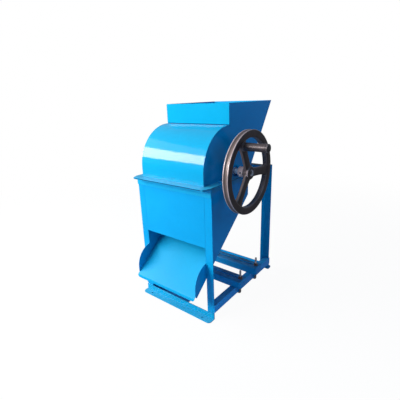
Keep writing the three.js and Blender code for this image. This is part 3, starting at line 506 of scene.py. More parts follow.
def scale_steel(name, base, rust, rust_amount, rough):
    """Hot rolled steel with mill scale and patches of rust."""
    s = Shader(name)
    patch = s.noise(45, 7, 0.7)
    grain = s.noise(500, 4, 0.7)
    light = tuple(v * 1.5 for v in base)
    colour = s.mix(s.ramp(grain, [(0.35, 0.0), (0.7, 1.0)]), base, light)
    first, last = 0.62 - 0.3 * rust_amount, 0.78 - 0.2 * rust_amount
    rusty = s.ramp(patch, [(first, 0.0), (last, 1.0)])
    light_rust = tuple(v * 1.9 for v in rust)
    brown = s.mix(s.ramp(grain, [(0.4, 0.0), (0.65, 1.0)]), rust, light_rust)
    colour = s.mix(rusty, colour, brown)
    roughness = s.mix(rusty, grey(rough), grey(0.85))
    metallic = s.math("SUBTRACT", 0.85, s.math("MULTIPLY", rusty, 0.7))
    s.set(Base_Color=colour, Roughness=roughness, Metallic=metallic)
    s.bumps((patch, 0.3, 0.0005), (grain, 0.3, 0.00015))
    return s.material


dark_steel = scale_steel("dark_steel", srgb(84, 88, 94), srgb(96, 58, 38), 0.25, 0.42)
rusty_steel = scale_steel("rusty_steel", srgb(104, 88, 82), srgb(100, 70, 58), 0.75, 0.5)
stud_steel = scale_steel("stud_steel", srgb(150, 142, 144), srgb(112, 92, 86), 0.3, 0.42)
black_screw = scale_steel("blackened_screw", srgb(22, 21, 23), srgb(34, 26, 22), 0.1, 0.6)
zinc = scale_steel("dull_bolt_steel", srgb(120, 126, 130), srgb(98, 66, 48), 0.2, 0.4)

BY_SLOT = {
    "blue_paint": blue_paint,
    "worn_blue_paint": dusty_paint,
    "cast_iron": cast_iron,
    "steel": steel,
    "dark_steel": dark_steel,
    "rusty_steel": rusty_steel,
}
BY_NAME = [
    (("side_rail", "foot_rail_rear", "bearing_outer_ring"), rail_paint_painted_light),
    (("foot_rail_front", "leg_rear"), foot_paint),
    (("top_angle_left", "top_angle_right", "top_angle_rear"), ring_paint),
    (("hood_flange", "top_angle_front"), flange_paint),
    (("wheel_set_screw",), black_screw),
    (("hopper_front_wall",), wall_paint),
    (("chute_plate",), chute_paint),
    (("drum_cover",), drum_paint),
]
# How far each node's edges are rounded, in millimetres, by how its name starts.
EDGE = {
    "leg": 1.0, "foot": 1.2, "side_rail": 1.0, "top_angle": 0.8, "cross": 0.8, "front_panel": 0.5,
    "box": 0.5, "chute": 0.5, "hood_side": 0.5, "hood_flange": 0.7, "drum": 0.5, "hopper": 0.55,
    "bearing": 1.2, "motor": 1.0, "main_shaft": 0.8, "rotor": 0.8, "beater": 0.6, "grate": 0.6,
    "hand_wheel": 0.6, "wheel": 0.4, "handle": 0.6, "hook": 0.4, "clamp": 0.6,
}
SHARP_ANGLE = math.radians(40)
JOIN_DISTANCE = 0.00002


def soft_group():
    """Joins a node's corners and shades it smoothly, so that its edges can be rounded."""
    group = bpy.data.node_groups.new("joined_smooth", "GeometryNodeTree")
    group.interface.new_socket("Geometry", in_out="INPUT", socket_type="NodeSocketGeometry")
    group.interface.new_socket("Geometry", in_out="OUTPUT", socket_type="NodeSocketGeometry")
    start = group.nodes.new("NodeGroupInput")
    end = group.nodes.new("NodeGroupOutput")
    merge = group.nodes.new("GeometryNodeMergeByDistance")
    merge.inputs["Distance"].default_value = JOIN_DISTANCE
    smooth = group.nodes.new("GeometryNodeSetShadeSmooth")
    group.links.new(start.outputs[0], merge.inputs["Geometry"])
    group.links.new(merge.outputs["Geometry"], smooth.inputs["Geometry"])
    group.links.new(smooth.outputs["Geometry"], end.inputs[0])
    return group


joined = soft_group()


def rounded(obj, width):
    obj.modifiers.new("joined", "NODES").node_group = joined
    bevel = obj.modifiers.new("rounded", "BEVEL")
    bevel.width = width / 1000.0
    bevel.segments = 2
    bevel.limit_method = "ANGLE"
    bevel.angle_limit = SHARP_ANGLE
    bevel.miter_outer = "MITER_ARC"
    level = obj.modifiers.new("level", "WEIGHTED_NORMAL")
    level.mode = "FACE_AREA"
    level.weight = 50


slots = {s["node"]: s["material_slot"] for s in frame["record"]["subparts"]}
for name, obj in nodes.items():
    named = [paint for starts, paint in BY_NAME if name.startswith(starts)]
    obj.data.materials.clear()
    obj.data.materials.append(named[0] if named else BY_SLOT[slots[name]])
    rounded(obj, next(width for start, width in EDGE.items() if name.startswith(start)))


# Mesh helpers. A part is a pair of lists, its points and its faces.
def mesh_object(name, verts, faces, material, body=None, slot=None, sharp=SHARP_ANGLE):
    data = bpy.data.meshes.new(name)
    data.from_pydata([tuple(v) for v in verts], [], faces)
    bm = bmesh.new()
    bm.from_mesh(data)
    bmesh.ops.recalc_face_normals(bm, faces=bm.faces)
    for face in bm.faces:
        face.smooth = True
    for edge in bm.edges:
        if len(edge.link_faces) == 2 and edge.calc_face_angle(0.0) > sharp:
            edge.smooth = False
    bm.to_mesh(data)
    bm.free()
    data.materials.append(material)
    obj = add_object(name, data)
    if body:
        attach(obj, body)
    return obj


def rings_mesh(rings, closed_along=False):
    """Faces over rings of points of equal number, closed at the ends or from last to first."""
    count = len(rings[0])
    verts = [p for ring in rings for p in ring]
    faces = []
    steps = len(rings) if closed_along else len(rings) - 1
    for i in range(steps):
        a, b = i * count, ((i + 1) % len(rings)) * count
        for j in range(count):
            k = (j + 1) % count
            faces.append((a + j, a + k, b + k, b + j))
    if not closed_along:
        faces.append(tuple(range(count))[::-1])
        faces.append(tuple(range((len(rings) - 1) * count, len(rings) * count)))
    return verts, faces


def join_parts(parts):
    verts, faces = [], []
    for part_verts, part_faces in parts:
        base = len(verts)
        verts += list(part_verts)
        faces += [tuple(i + base for i in f) for f in part_faces]
    return verts, faces


def turns(count):
    """Angles that share out one turn."""
    return [2 * math.pi * j / count for j in range(count)]


def lathe_x(points, y, z, sides, closed_along=False):
    """Points [x, radius] turned about a line along X; a radius of 0 closes the end."""
    rings = [
        [at(x, y + radius * math.cos(t), z + radius * math.sin(t)) for t in turns(sides)]
        for x, radius in points
    ]
    return rings_mesh(rings, closed_along)


def arc(cx, cy, radius, start, end, steps):
    points = []
    for i in range(steps + 1):
        t = math.radians(start + (end - start) * i / steps)
        points.append((cx + radius * math.cos(t), cy + radius * math.sin(t)))
    return points


def box_mesh(low, high):
    verts = [at(x, y, z) for x, y, z in itertools.product(*zip(low, high))]
    faces = [(0, 1, 3, 2), (4, 6, 7, 5), (0, 4, 5, 1), (2, 3, 7, 6), (0, 2, 6, 4), (1, 5, 7, 3)]
    return verts, faces


def bezier(a, b, c, t):
    return (1 - t) ** 2 * a + 2 * t * (1 - t) * b + t * t * c


# Hand wheel: one casting, joined and relaxed by a remesh, then bored.
RIM_SOFT = 8.0
RIM_LIP = 4.0
# Half the belt groove, from its lip inwards: beside the rim's middle, and down from its outside.
GROOVE = [(9.4, 0.0), (8.2, 1.9), (4.0, 4.2)]
GROOVE_DEPTH = 5.2
RIM_SIDES = 160
HUB_PROFILE = (
    [(HUB_START, 0), (HUB_START, 22.0)]
    + arc(HUB_START + 2.5, 22.0, 2.5, 180, 90, 4)
    + [(268, 25.6), (275, 26.6), (280, 28.2), (283, 30.2), (286, 31), (299, 32.4), (305, 31.6)]
    + [(308.4, 29.6), (310.6, 26.8), (311.7, 23.6), (312, 21), (312, 0)]
)
BOSS_FRONT = WHEEL_INNER + RIM_WIDTH
BOSS_PROFILE = [
    (WHEEL_INNER + 0.5, 0), (WHEEL_INNER + 0.5, 17), (WHEEL_INNER + 3.5, 20),
    (BOSS_FRONT - 3.5, 20), (BOSS_FRONT - 0.6, 17), (BOSS_FRONT - 0.6, 0),
]
# Along a spoke from the shaft: its root, its narrowest place and its flare into the rim.
SPOKE_ROOT, SPOKE_NECK, SPOKE_FLARE = 15.5, 93.75, 158.5
ROOT_BEND, FLARE_BEND = 31.0, 141.5
ROOT_HALF, NECK_HALF, FLARE_HALF = 25.0, 20.0, 31.0
SPOKE_START, SPOKE_END, SPOKE_STEPS = 4, 164, 30
SPOKE_SIDES = 28
SPOKE_ROUNDNESS = 3.4
# Half a spoke's thickness at its ends, and how much thinner it is halfway along.
SPOKE_HALF_THICK, SPOKE_THINNING, SPOKE_LENGTH = 10.2, 1.4, 160
VOXEL = 0.0016
RELAX_SHARE, RELAX_STEPS = 0.5, 6
KEPT_SHARE = 0.30
CUT_START, CUT_END = 240, 320
STUD_HOLE_START = 270
BORE_RADIUS = 12.8
KEYWAY_HALF, KEYWAY_LOW, KEYWAY_HIGH = 4.3, 6, 15.8
SET_SCREW_X = 265.5
SET_SCREW_ANGLE = math.radians(182)
# The set screw's hole: distance from the shaft's centre, and radius.
SET_SCREW_HOLE = ((11.0, 4.3), (21.4, 4.3), (22.0, 5.6), (34.0, 5.6))
# Bare iron on the hub, in metres: the sleeve behind the spokes, and a ring on its face. It is
# painted very pale as painted light, and the ring only where it faces the front, as a painted
# highlight.
SLEEVE_END = at(279, 0, 0).x
FACE_START = at(303, 0, 0).x
FACE_INNER, FACE_OUTER = 0.0255, 0.034


def superellipse(half_a, half_b, power, count):
    points = []
    for t in turns(count):
        c, s = math.cos(t), math.sin(t)
        points.append((
            half_a * math.copysign(abs(c) ** (2 / power), c),
            half_b * math.copysign(abs(s) ** (2 / power), s),
        ))
    return points


def wheel_rim():
    x0, x1 = WHEEL_INNER, WHEEL_INNER + RIM_WIDTH
    middle = (x0 + x1) / 2
    profile = arc(x1 - RIM_SOFT, RIM_INNER + RIM_SOFT, RIM_SOFT, -90, 0, 8)
    profile += arc(x1 - RIM_LIP, RIM_OUTER - RIM_LIP, RIM_LIP, 0, 90, 6)
    profile += [(middle + aside, RIM_OUTER - down) for aside, down in GROOVE]
    profile += [(middle, RIM_OUTER - GROOVE_DEPTH)]
    profile += [(middle - aside, RIM_OUTER - down) for aside, down in GROOVE[::-1]]
    profile += arc(x0 + RIM_LIP, RIM_OUTER - RIM_LIP, RIM_LIP, 90, 180, 6)
    profile += arc(x0 + RIM_SOFT, RIM_INNER + RIM_SOFT, RIM_SOFT, 180, 270, 8)
    rings = [
        [at(x, SHAFT_Y + r * math.cos(t), SHAFT_Z + r * math.sin(t)) for x, r in profile]
        for t in turns(RIM_SIDES)
    ]
    return rings_mesh(rings, closed_along=True)


def spoke_half(a):
    """Half a spoke's width at a distance from the shaft's centre."""
    for i in range(101):
        t = i / 100
        if a < SPOKE_NECK:
            place = bezier(SPOKE_ROOT, ROOT_BEND, SPOKE_NECK, t)
            half = bezier(ROOT_HALF, NECK_HALF, NECK_HALF, t)
        else:
            place = bezier(SPOKE_NECK, FLARE_BEND, SPOKE_FLARE, t)
            half = bezier(NECK_HALF, NECK_HALF, FLARE_HALF, t)
        if place >= a:
            return half
    return FLARE_HALF


def wheel_spoke(degrees):
    t = math.radians(degrees)
    centre_x = WHEEL_INNER + RIM_WIDTH / 2
    rings = []
    for i in range(SPOKE_STEPS + 1):
        a = SPOKE_START + (SPOKE_END - SPOKE_START) * i / SPOKE_STEPS
        thinning = SPOKE_THINNING * math.sin(math.pi * min(1.0, a / SPOKE_LENGTH))
        thick = SPOKE_HALF_THICK - thinning
        rings.append([
            at(centre_x + v,
               SHAFT_Y + a * math.cos(t) - u * math.sin(t),
               SHAFT_Z + a * math.sin(t) + u * math.cos(t))
            for u, v in superellipse(spoke_half(a), thick, SPOKE_ROUNDNESS, SPOKE_SIDES)
        ])
    return rings_mesh(rings)


def set_screw_hole():
    c, s = math.cos(SET_SCREW_ANGLE), math.sin(SET_SCREW_ANGLE)
    rings = []
    for r, wide in SET_SCREW_HOLE:
        rings.append([
            at(SET_SCREW_X + wide * math.cos(t),
               SHAFT_Y + r * c - wide * math.sin(t) * s,
               SHAFT_Z + r * s + wide * math.sin(t) * c)
            for t in turns(24)
        ])
    return rings_mesh(rings)


def bore(start, radius, y, z, sides):
    return lathe_x([(start, 0), (start, radius), (CUT_END, radius), (CUT_END, 0)], y, z, sides)


def settle(obj):
    """Applies an object's modifiers to its mesh."""
    bpy.context.view_layer.update()
    graph = bpy.context.evaluated_depsgraph_get()
    data = bpy.data.meshes.new_from_object(obj.evaluated_get(graph))
    old = obj.data
    obj.modifiers.clear()
    obj.data = data
    bpy.data.meshes.remove(old)


def subtract(obj, part):
    cutter = mesh_object("cutter", *part, cast_iron)
    cut = obj.modifiers.new("cut", "BOOLEAN")
    cut.operation = "DIFFERENCE"
    cut.solver = "EXACT"
    cut.object = cutter
    settle(obj)
    bpy.data.objects.remove(cutter)


def is_bare_or_painted_lit(polygon):
    """On the hub's sleeve, or on the front-facing part of the rounded front edge of its face: bare
    iron, painted pale as painted light.
    """
    centre, normal = polygon.center, polygon.normal
    reach = math.hypot(centre.y - SHAFT_CENTRE.y, centre.z - SHAFT_CENTRE.z)
    on_face = centre.x > FACE_START and FACE_INNER < reach < FACE_OUTER
    return centre.x < SLEEVE_END or (on_face and normal.y < -0.35 and abs(normal.x) < 0.6)


def make_wheel():
    hub = lathe_x(HUB_PROFILE, SHAFT_Y, SHAFT_Z, 72)
    boss = lathe_x(BOSS_PROFILE, HANDLE_Y, HANDLE_Z, 48)
    spokes = [wheel_spoke(FIRST_SPOKE + 360 / SPOKE_COUNT * i) for i in range(SPOKE_COUNT)]
    wheel = mesh_object("wheel_casting", *join_parts([wheel_rim(), hub, boss] + spokes), cast_iron)
    remesh = wheel.modifiers.new("cast", "REMESH")
    remesh.mode = "VOXEL"
    remesh.voxel_size = VOXEL
    relax = wheel.modifiers.new("relax", "SMOOTH")
    relax.factor = RELAX_SHARE
    relax.iterations = RELAX_STEPS
    thin = wheel.modifiers.new("thin", "DECIMATE")
    thin.ratio = KEPT_SHARE
    settle(wheel)
    subtract(wheel, bore(CUT_START, BORE_RADIUS, SHAFT_Y, SHAFT_Z, 64))
    subtract(wheel, set_screw_hole())
    subtract(wheel, box_mesh((CUT_START, SHAFT_Y - KEYWAY_HALF, SHAFT_Z + KEYWAY_LOW),
                             (CUT_END, SHAFT_Y + KEYWAY_HALF, SHAFT_Z + KEYWAY_HIGH)))
    subtract(wheel, bore(STUD_HOLE_START, STUD_HOLE_RADIUS, HANDLE_Y, HANDLE_Z, 48))
    wheel.data.materials.clear()
    wheel.data.materials.append(cast_iron)
    wheel.data.materials.append(bare_hub_iron_painted_light)
    for polygon in wheel.data.polygons:
        polygon.use_smooth = True
        # Painted light: the hub's sleeve and the front of its face get the pale iron.
        if is_bare_or_painted_lit(polygon):
            polygon.material_index = 1
    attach(wheel, "rotor")
    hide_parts("hand_wheel")


make_wheel()


# Grip and stud. The grip swells from its waist to both ends.
GRIP_SIDES = 64
GRIP_STEPS = 24
GRIP_WAIST = 17.2
GRIP_SWELL = 1.4
GRIP_END_RADIUS = 16.1
GRIP_ROUND = 2.5
GRIP_MARGIN = 3.5
STUD_START = 271
STUD_RADIUS = 8
HEAD_RADIUS = 16.8
HEAD_BULGE = 18.4


def make_grip():
    start = WHEEL_INNER + RIM_WIDTH + GAP
    end = HANDLE_END - (STUD_HEAD_LENGTH + GAP)
    profile = [(start, STUD_HOLE_RADIUS)]
    profile += arc(start + GRIP_ROUND, GRIP_END_RADIUS, GRIP_ROUND, 180, 90, 5)
    for i in range(GRIP_STEPS + 1):
        t = i / GRIP_STEPS
        x = start + GRIP_MARGIN + (end - start - 2 * GRIP_MARGIN) * t
        profile.append((x, GRIP_WAIST + GRIP_SWELL * abs(2 * t - 1) ** 2.2))
    profile += arc(end - GRIP_ROUND, GRIP_END_RADIUS, GRIP_ROUND, 90, 0, 5)
    profile += [(end, STUD_HOLE_RADIUS)]
    turned = lathe_x(profile, HANDLE_Y, HANDLE_Z, GRIP_SIDES, closed_along=True)
    grip = mesh_object("turned_grip", *turned, grip_iron, slot="cast_iron")
    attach(grip, "grip")
    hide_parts("handle_grip")


def make_stud():
    end = HANDLE_END
    head_start = end - STUD_HEAD_LENGTH
    profile = [(STUD_START, 0), (STUD_START, 7.2), (STUD_START + 0.8, STUD_RADIUS)]
    profile += [(head_start, STUD_RADIUS), (head_start, HEAD_RADIUS)]
    profile += arc(end - 8.4, HEAD_RADIUS, 1.6, 180, 90, 4) + [(end - 5, HEAD_BULGE)]
    profile += arc(end - 4.2, 14.8, 3.6, 80, 12, 6) + [(end - 0.4, 11), (end, 6), (end, 0)]
    head = lathe_x(profile, HANDLE_Y, HANDLE_Z, GRIP_SIDES)
    stud = mesh_object("stud_with_head", *head, grip_iron, slot="cast_iron")
    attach(stud, "rotor")
    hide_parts("handle_stud")


make_grip()
make_stud()


# Bolts, nuts and threads. Their sizes are in millimetres, their bases in metres.
THREAD_SIDES = 20
THREAD_DEPTH_SHARE = 0.55
THREAD_RUN_OUT = 1.2
RINGS_PER_PITCH = 6
HEX_SIDES = 48


def frame_axes(axis):
    """An axis and two more across it."""
    axis = Vector(axis).normalized()
    helper = Vector((1, 0, 0)) if abs(axis.x) < 0.9 else Vector((0, 1, 0))
    u = axis.cross(helper).normalized()
    return axis, u, axis.cross(u).normalized()


def around(base, axes, along, angle, radius):
    """A point at a distance along the first axis, an angle round it and a radius from it."""
    axis, u, v = axes
    return base + (axis * along + (u * math.cos(angle) + v * math.sin(angle)) * radius) / 1000.0


def turned_parts(base, axis, profile, sides):
    """Profile [distance along the axis, radius] turned about the axis from base."""
    axes = frame_axes(axis)
    rings = [
        [around(base, axes, along, t, radius) for t in turns(sides)] for along, radius in profile
    ]
    return rings_mesh(rings)


def hex_parts(base, axis, flats, height, turn=0.0):
    """A hexagon with its corners turned off at the outer end."""
    half = flats / 2
    corner = flats / math.sqrt(3)
    axes = frame_axes(axis)
    # Distance along the axis, and the radius where the level is round.
    levels = [(0.0, half * 0.96), (0.25, None), (height - corner * 0.16, None), (height, half),
              (height, half * 0.9)]
    rings = []
    for along, radius in levels:
        ring = []
        for t in turns(HEX_SIDES):
            off_flat = (t % (math.pi / 3)) - math.pi / 6
            reach = radius or half / math.cos(off_flat)
            ring.append(around(base, axes, along, t + turn, reach))
        rings.append(ring)
    return rings_mesh(rings)


def thread_parts(base, axis, radius, length, pitch):
    """A rod with a screw thread: its radius follows the turn of the thread."""
    axes = frame_axes(axis)
    depth = pitch * THREAD_DEPTH_SHARE
    count = max(4, int(length / pitch * RINGS_PER_PITCH))
    rings = []
    for i in range(count + 1):
        along = length * i / count
        end = min(1.0, (length - along) / THREAD_RUN_OUT)
        ring = []
        for j, t in enumerate(turns(THREAD_SIDES)):
            phase = (along / pitch - j / THREAD_SIDES) % 1.0
            height = 1 - abs(2 * phase - 1)
            r = min(radius - depth * (1 - height), radius - depth * (1 - end))
            ring.append(around(base, axes, along, t, r))
        rings.append(ring)
    return rings_mesh(rings)


def washer_parts(base, axis, radius, height):
    profile = [(0, radius - 0.3), (0.3, radius), (height - 0.4, radius), (height, radius - 0.5)]
    return turned_parts(base, axis, profile, 32)


# A hook bolt: an arm under the side rail, a bend, and a rod that goes up through the motor rail.
HOOK_RADIUS = 5.5
HOOK_ARM_Z = SIDE_RAIL_BOTTOM - GAP - HOOK_RADIUS
HOOK_ARM_FROM, HOOK_ARM_TO = 26, 12
HOOK_BEND = 9.0
HOOK_ROD_TOP = 112
HOOK_ROD_RADIUS = 5.3
HOOK_THREAD_START, HOOK_THREAD_END = 111, 167.3
HOOK_THREAD_LENGTH = HOOK_THREAD_END - HOOK_THREAD_START
HOOK_THREAD = {"radius": HOOK_RADIUS, "length": HOOK_THREAD_LENGTH, "pitch": 1.75}
CLAMP_WASHER = {"radius": 12, "height": 2.5}
CLAMP_NUT = {"flats": 18, "height": 10}


def hook_rod(side, y):
    x = side * HOOK_X
    path = [(x - side * HOOK_ARM_FROM, HOOK_ARM_Z), (x - side * HOOK_ARM_TO, HOOK_ARM_Z)]
    for i in range(1, 9):
        t = math.radians(90 * i / 8)
        path.append((x - side * HOOK_BEND + side * HOOK_BEND * math.sin(t),
                     HOOK_ARM_Z + HOOK_BEND - HOOK_BEND * math.cos(t)))
    path.append((x, HOOK_ROD_TOP))
    rings = []
    for i, (px, pz) in enumerate(path):
        a = path[max(0, i - 1)]
        b = path[min(len(path) - 1, i + 1)]
        direction = Vector((b[0] - a[0], 0, b[1] - a[1])).normalized()
        axes = (direction, Vector((direction.z, 0, -direction.x)), Vector((0, 1, 0)))
        rings.append([around(at(px, y, pz), axes, 0, t, HOOK_ROD_RADIUS) for t in turns(20)])
    return rings_mesh(rings)


def hook_bolt(place, y, side, label):
    thread = thread_parts(at(side * HOOK_X, y, HOOK_THREAD_START), UP, **HOOK_THREAD)
    bolt = mesh_object(f"threaded_hook_bolt_{place}_{label}",
                       *join_parts([hook_rod(side, y), thread]), stud_steel, slot="rusty_steel")
    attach(bolt, f"{place}_motor_rail")
    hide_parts(f"hook_bolt_{place}_{label}")
    base = at(side * HOOK_X, y, RAIL_TOP + GAP)
    on_washer = base + Vector((0, 0, CLAMP_WASHER["height"] / 1000.0))
    parts = [
        washer_parts(base, UP, **CLAMP_WASHER),
        hex_parts(on_washer, UP, turn=0.3 * side + y, **CLAMP_NUT),
    ]
    nut = mesh_object(f"hex_nut_{place}_{label}", *join_parts(parts), rusty_steel,
                      slot="rusty_steel")
    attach(nut, f"{place}_motor_rail")
    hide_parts(f"clamp_nut_{place}_{label}")


SIDES = ((1, "right"), (-1, "left"))
for place, y in RAIL_YS.items():
    for side, label in SIDES:
        hook_bolt(place, y, side, label)


WASHER_HEIGHT = 1.6
THREAD_START = 1.5
FINE_PITCH = 1.25
FLANGE_BOLT = {"flats": 13, "height": 5.5, "washer": 8.5}
FLANGE_NUT = {"flats": 13, "height": 6.5, "washer": 8.5, "stud": 12, "thread": 4.0}
FLANGE_BOLT_YS = (92.0, FRAME_DEPTH / 2)
BEARING_BOLT = {"flats": 17, "height": 9, "washer": 11, "stud": 15, "thread": 5.8}
BEARING_BOLT_OFFSETS = (-52.5, 52.5)


def bolt_down(name, base, axis, finish, flats, height, washer, stud=0.0, thread=0.0):
    """A washer under a bolt's head or a nut, with a stud through it if it has a length."""
    on_washer = base + Vector(axis) * (WASHER_HEIGHT / 1000.0)
    parts = [washer_parts(base, axis, washer, WASHER_HEIGHT),
             hex_parts(on_washer, axis, flats, height)]
    if stud:
        stud_base = base + Vector(axis) * (THREAD_START / 1000.0)
        parts.append(thread_parts(stud_base, axis, thread, stud, FINE_PITCH))
    mesh_object(name, *join_parts(parts), finish, body="frame")


for side, label in SIDES:
    x = side * BEARING_X
    for i, y in enumerate(FLANGE_BOLT_YS):
        bolt_down(f"flange_bolt_{label}_{i + 1}", at(x, y, FLANGE_TOP), UP, rail_paint_painted_light,
                  **FLANGE_BOLT)
        bolt_down(f"flange_nut_{label}_{i + 1}", at(x, y, FRAME_TOP - ANGLE_THICKNESS), DOWN,
                  rail_paint_painted_light, **FLANGE_NUT)


# Bearings: bolts, grease nipple, seals on both faces and the inner ring's two screws.
NIPPLE_RISE = 33.4
NIPPLE_PROFILE = [(0, 3.6), (3.5, 3.6), (3.5, 2.6), (6, 2.2), (7.2, 3.0), (9.5, 2.4), (10.6, 0.8)]
# The seal's ring: distance out of the bearing's face, and radius.
SEAL_PROFILE = ((0.0, 17.6), (1.0, 18.2), (1.4, 22.0), (0.0, 24.0))
SEAL_FACE = 8.6
COLLAR_OFFSET = 13
COLLAR_RADIUS = 16.0
COLLAR_SCREW = [(0, 2.9), (1.5, 2.9), (1.9, 2.5), (1.9, 1.5), (0.6, 1.5)]
COLLAR_SCREW_ANGLES = (60, 180)
SMALL_SIDES = 20


def bearing_details(side, label):
    x = side * BEARING_X
    for i, offset in enumerate(BEARING_BOLT_OFFSETS):
        top = at(x, SHAFT_Y + offset, HOOD_BOTTOM + BEARING_BASE_HEIGHT)
        bolt_down(f"bearing_bolt_{label}_{i + 1}", top, UP, zinc, **BEARING_BOLT)
    base = at(x, SHAFT_Y, SHAFT_Z + NIPPLE_RISE)
    nipple = turned_parts(base, (0, 0.12 * side, 1), NIPPLE_PROFILE, SMALL_SIDES)
    mesh_object(f"grease_nipple_{label}", *nipple, zinc, body="frame")
    seals = []
    for direction in (-1, 1):
        face = side * (BEARING_X + direction * SEAL_FACE)
        profile = [(face + side * direction * out, radius) for out, radius in SEAL_PROFILE]
        seals.append(lathe_x(profile, SHAFT_Y, SHAFT_Z, 48, closed_along=True))
    mesh_object(f"bearing_seal_{label}", *join_parts(seals), rail_paint_painted_light, body="frame")
    screws = []
    for degrees in COLLAR_SCREW_ANGLES:
        t = math.radians(degrees)
        axis = Vector((0, math.cos(t), math.sin(t)))
        place = at(side * (BEARING_X + COLLAR_OFFSET), SHAFT_Y, SHAFT_Z)
        place += axis * COLLAR_RADIUS / 1000.0
        screws.append(turned_parts(place, axis, COLLAR_SCREW, SMALL_SIDES))
    mesh_object(f"collar_screws_{label}", *join_parts(screws), steel, body="rotor")


for side, label in SIDES:
    bearing_details(side, label)


# Weld beads
RIPPLE = 4.0
WELD_SIDES = 10
WELD_ANGLE = math.radians(80)
weld_numbers = itertools.count(1)


def weld(start, end, radius, up=UP, material=blue_paint):
    """A fillet weld between two places: a row of overlapping ripples, half sunk in the corner."""
    start, end = at(*start), at(*end)
    length = (end - start).length
    axis = (end - start).normalized()
    across = axis.cross(Vector(up)).normalized()
    axes = (axis, across, across.cross(axis).normalized())
    count = max(8, int(length * 1000 / RIPPLE) * 3)
    rings = []
    for i in range(count + 1):
        t = i / count
        phase = (t * length * 1000 / RIPPLE) % 1.0
        swell = 0.86 + 0.16 * math.sin(math.pi * phase) + 0.05 * math.sin(7.3 * i)
        wander = 0.12 * math.sin(1.7 * i) + 0.1 * math.sin(0.61 * i)
        taper = min(1.0, 0.35 + 0.65 * min(i, count - i) / 3)
        centre = start.lerp(end, t) + across * (wander * radius * 0.3 / 1000.0)
        bead = radius * swell * taper
        rings.append([around(centre, axes, 0, turn, bead) for turn in turns(WELD_SIDES)])
    mesh_object(f"weld_{next(weld_numbers)}", *rings_mesh(rings), material, body="frame",
                sharp=WELD_ANGLE)


for side in (1, -1):
    outer = side * HALF_WIDTH
    inner = side * (LEG_INNER + 0.2)
    cheek = side * 188.6
    wall = side * 190.6
    # The foot rails on the legs: over the rail, and up the legs' outer edges.
    for face in (-0.15, FRAME_DEPTH + 0.15):
        weld((side * (LEG_INNER + 2), face, 32.4), (side * (HALF_WIDTH - 3), face, 32.4), 2.0)
        weld((outer, face, 4), (outer, face, 31), 1.6, up=(1, 0, 0))
    # The side rails' ends, on the legs.
    x = side * (HALF_WIDTH + 0.15)
    for y in (0.4, FRAME_DEPTH - 0.4):
        weld((x, y, 42), (x, y, 78), 1.8, up=(1, 0, 0), material=rail_paint_painted_light)
    # The front top angle under its corner, and the hood's sides on their flanges.
    corner_z = FRAME_TOP - ANGLE_THICKNESS - GAP
    weld((side * (LEG_INNER + 4), 2, corner_z), (side * (HALF_WIDTH - 4), 2, corner_z), 1.6)
    for y0, y1 in ((48, 122), (275, 385)):
        weld((inner, y0, FLANGE_TOP + 0.2), (inner, y1, FLANGE_TOP + 0.2), 1.8)
    # The chute plate in its cheeks, and the hopper's front corners.
    weld((cheek, -2.0, 233.2), (cheek, -83, 165.6), 1.1)
    weld((wall, HOPPER_FRONT + 0.4, 906), (wall, HOPPER_FRONT + 0.4, 996), 1.0, up=(0, -1, 0))


# Floor. It is white to the camera and pale under the lamps, and keeps the object's shadow. Behind
# the front foot rail and in the foot holes a dark blue shadow is painted, in place of a contact
# shadow.
FLOOR_SIZE = 60.0
FLOOR_DROP = -0.0005
FLOOR_SEEN = (0.95, 0.95, 0.95)
FLOOR_LIT = (0.30, 0.46, 0.68)
FLOOR_MIRRORED = (0.04, 0.05, 0.06)
# Colour of the painted shadow on the floor.
FLOOR_PAINTED_SHADOW = (0.02, 0.14, 0.36)
GLOW_MIRRORED = 0.16
GLOW_NEAR, GLOW_FAR = 0.955, 0.045


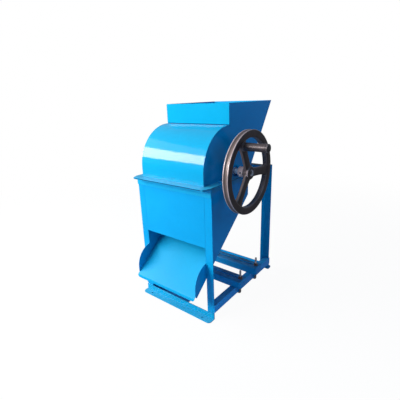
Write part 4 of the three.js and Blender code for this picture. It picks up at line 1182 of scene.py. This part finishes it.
def outside_painted_shadow(s):
    """0 in the painted shadow, behind the front foot rail and in the foot holes, and 1 elsewhere.
    """
    shadow_start, shadow_end = at(-HALF_WIDTH, 0, 0), at(36, 70, 0)
    strip = s.math("MULTIPLY", s.between("X", shadow_start.x, shadow_end.x, 0.012),
                   s.between("Y", shadow_start.y, shadow_end.y, 0.03))
    clear = s.math("SUBTRACT", 1.0, strip)
    for hole_x, hole_y in itertools.product((-FOOT_HOLE_X, FOOT_HOLE_X), FOOT_HOLE_YS):
        hole = at(hole_x, hole_y, 0)
        outside_hole_shadow = s.from_line(("X", hole.x), ("Y", hole.y), 0.010, 0.012)
        clear = s.math("MULTIPLY", clear, outside_hole_shadow)
    return clear


def make_floor():
    s = Shader("pale_floor")
    path = s.node("ShaderNodeLightPath").outputs
    seen = s.math("MAXIMUM", path["Is Camera Ray"], path["Is Transmission Ray"])
    clear = outside_painted_shadow(s)
    unseen = s.mix(path["Is Glossy Ray"], FLOOR_LIT, FLOOR_MIRRORED)
    # Painted shadow: the floor turns dark blue and stops glowing behind the front foot rail and in
    # the foot holes.
    colour = s.mix(clear, FLOOR_PAINTED_SHADOW, s.mix(seen, unseen, FLOOR_SEEN))
    s.set(Base_Color=colour, Roughness=0.9, Specular_IOR_Level=0.1)
    glows = s.math("MAXIMUM", seen, s.math("MULTIPLY", path["Is Glossy Ray"], GLOW_MIRRORED))
    far = s.from_line(("X", 0.0), ("Y", 0.0), 1.2, 3.2)
    share = s.math("ADD", GLOW_NEAR, s.math("MULTIPLY", far, GLOW_FAR))
    share = s.math("MULTIPLY", s.math("MULTIPLY", glows, share), clear)
    glow = s.light("ShaderNodeEmission", WHITE)
    mixed = s.mix_shaders(share, s.bsdf.outputs[0], glow)
    s.link(mixed, s.tree.nodes["Material Output"].inputs[0])
    size = FLOOR_SIZE
    corners = [(-size, -size, 0), (size, -size, 0), (size, size, 0), (-size, size, 0)]
    data = bpy.data.meshes.new("floor")
    data.from_pydata(corners, [], [(0, 1, 2, 3)])
    data.materials.append(s.material)
    floor = add_object("floor", data)
    floor.location = (0, 0, FLOOR_DROP)


make_floor()

bpy.context.view_layer.update()
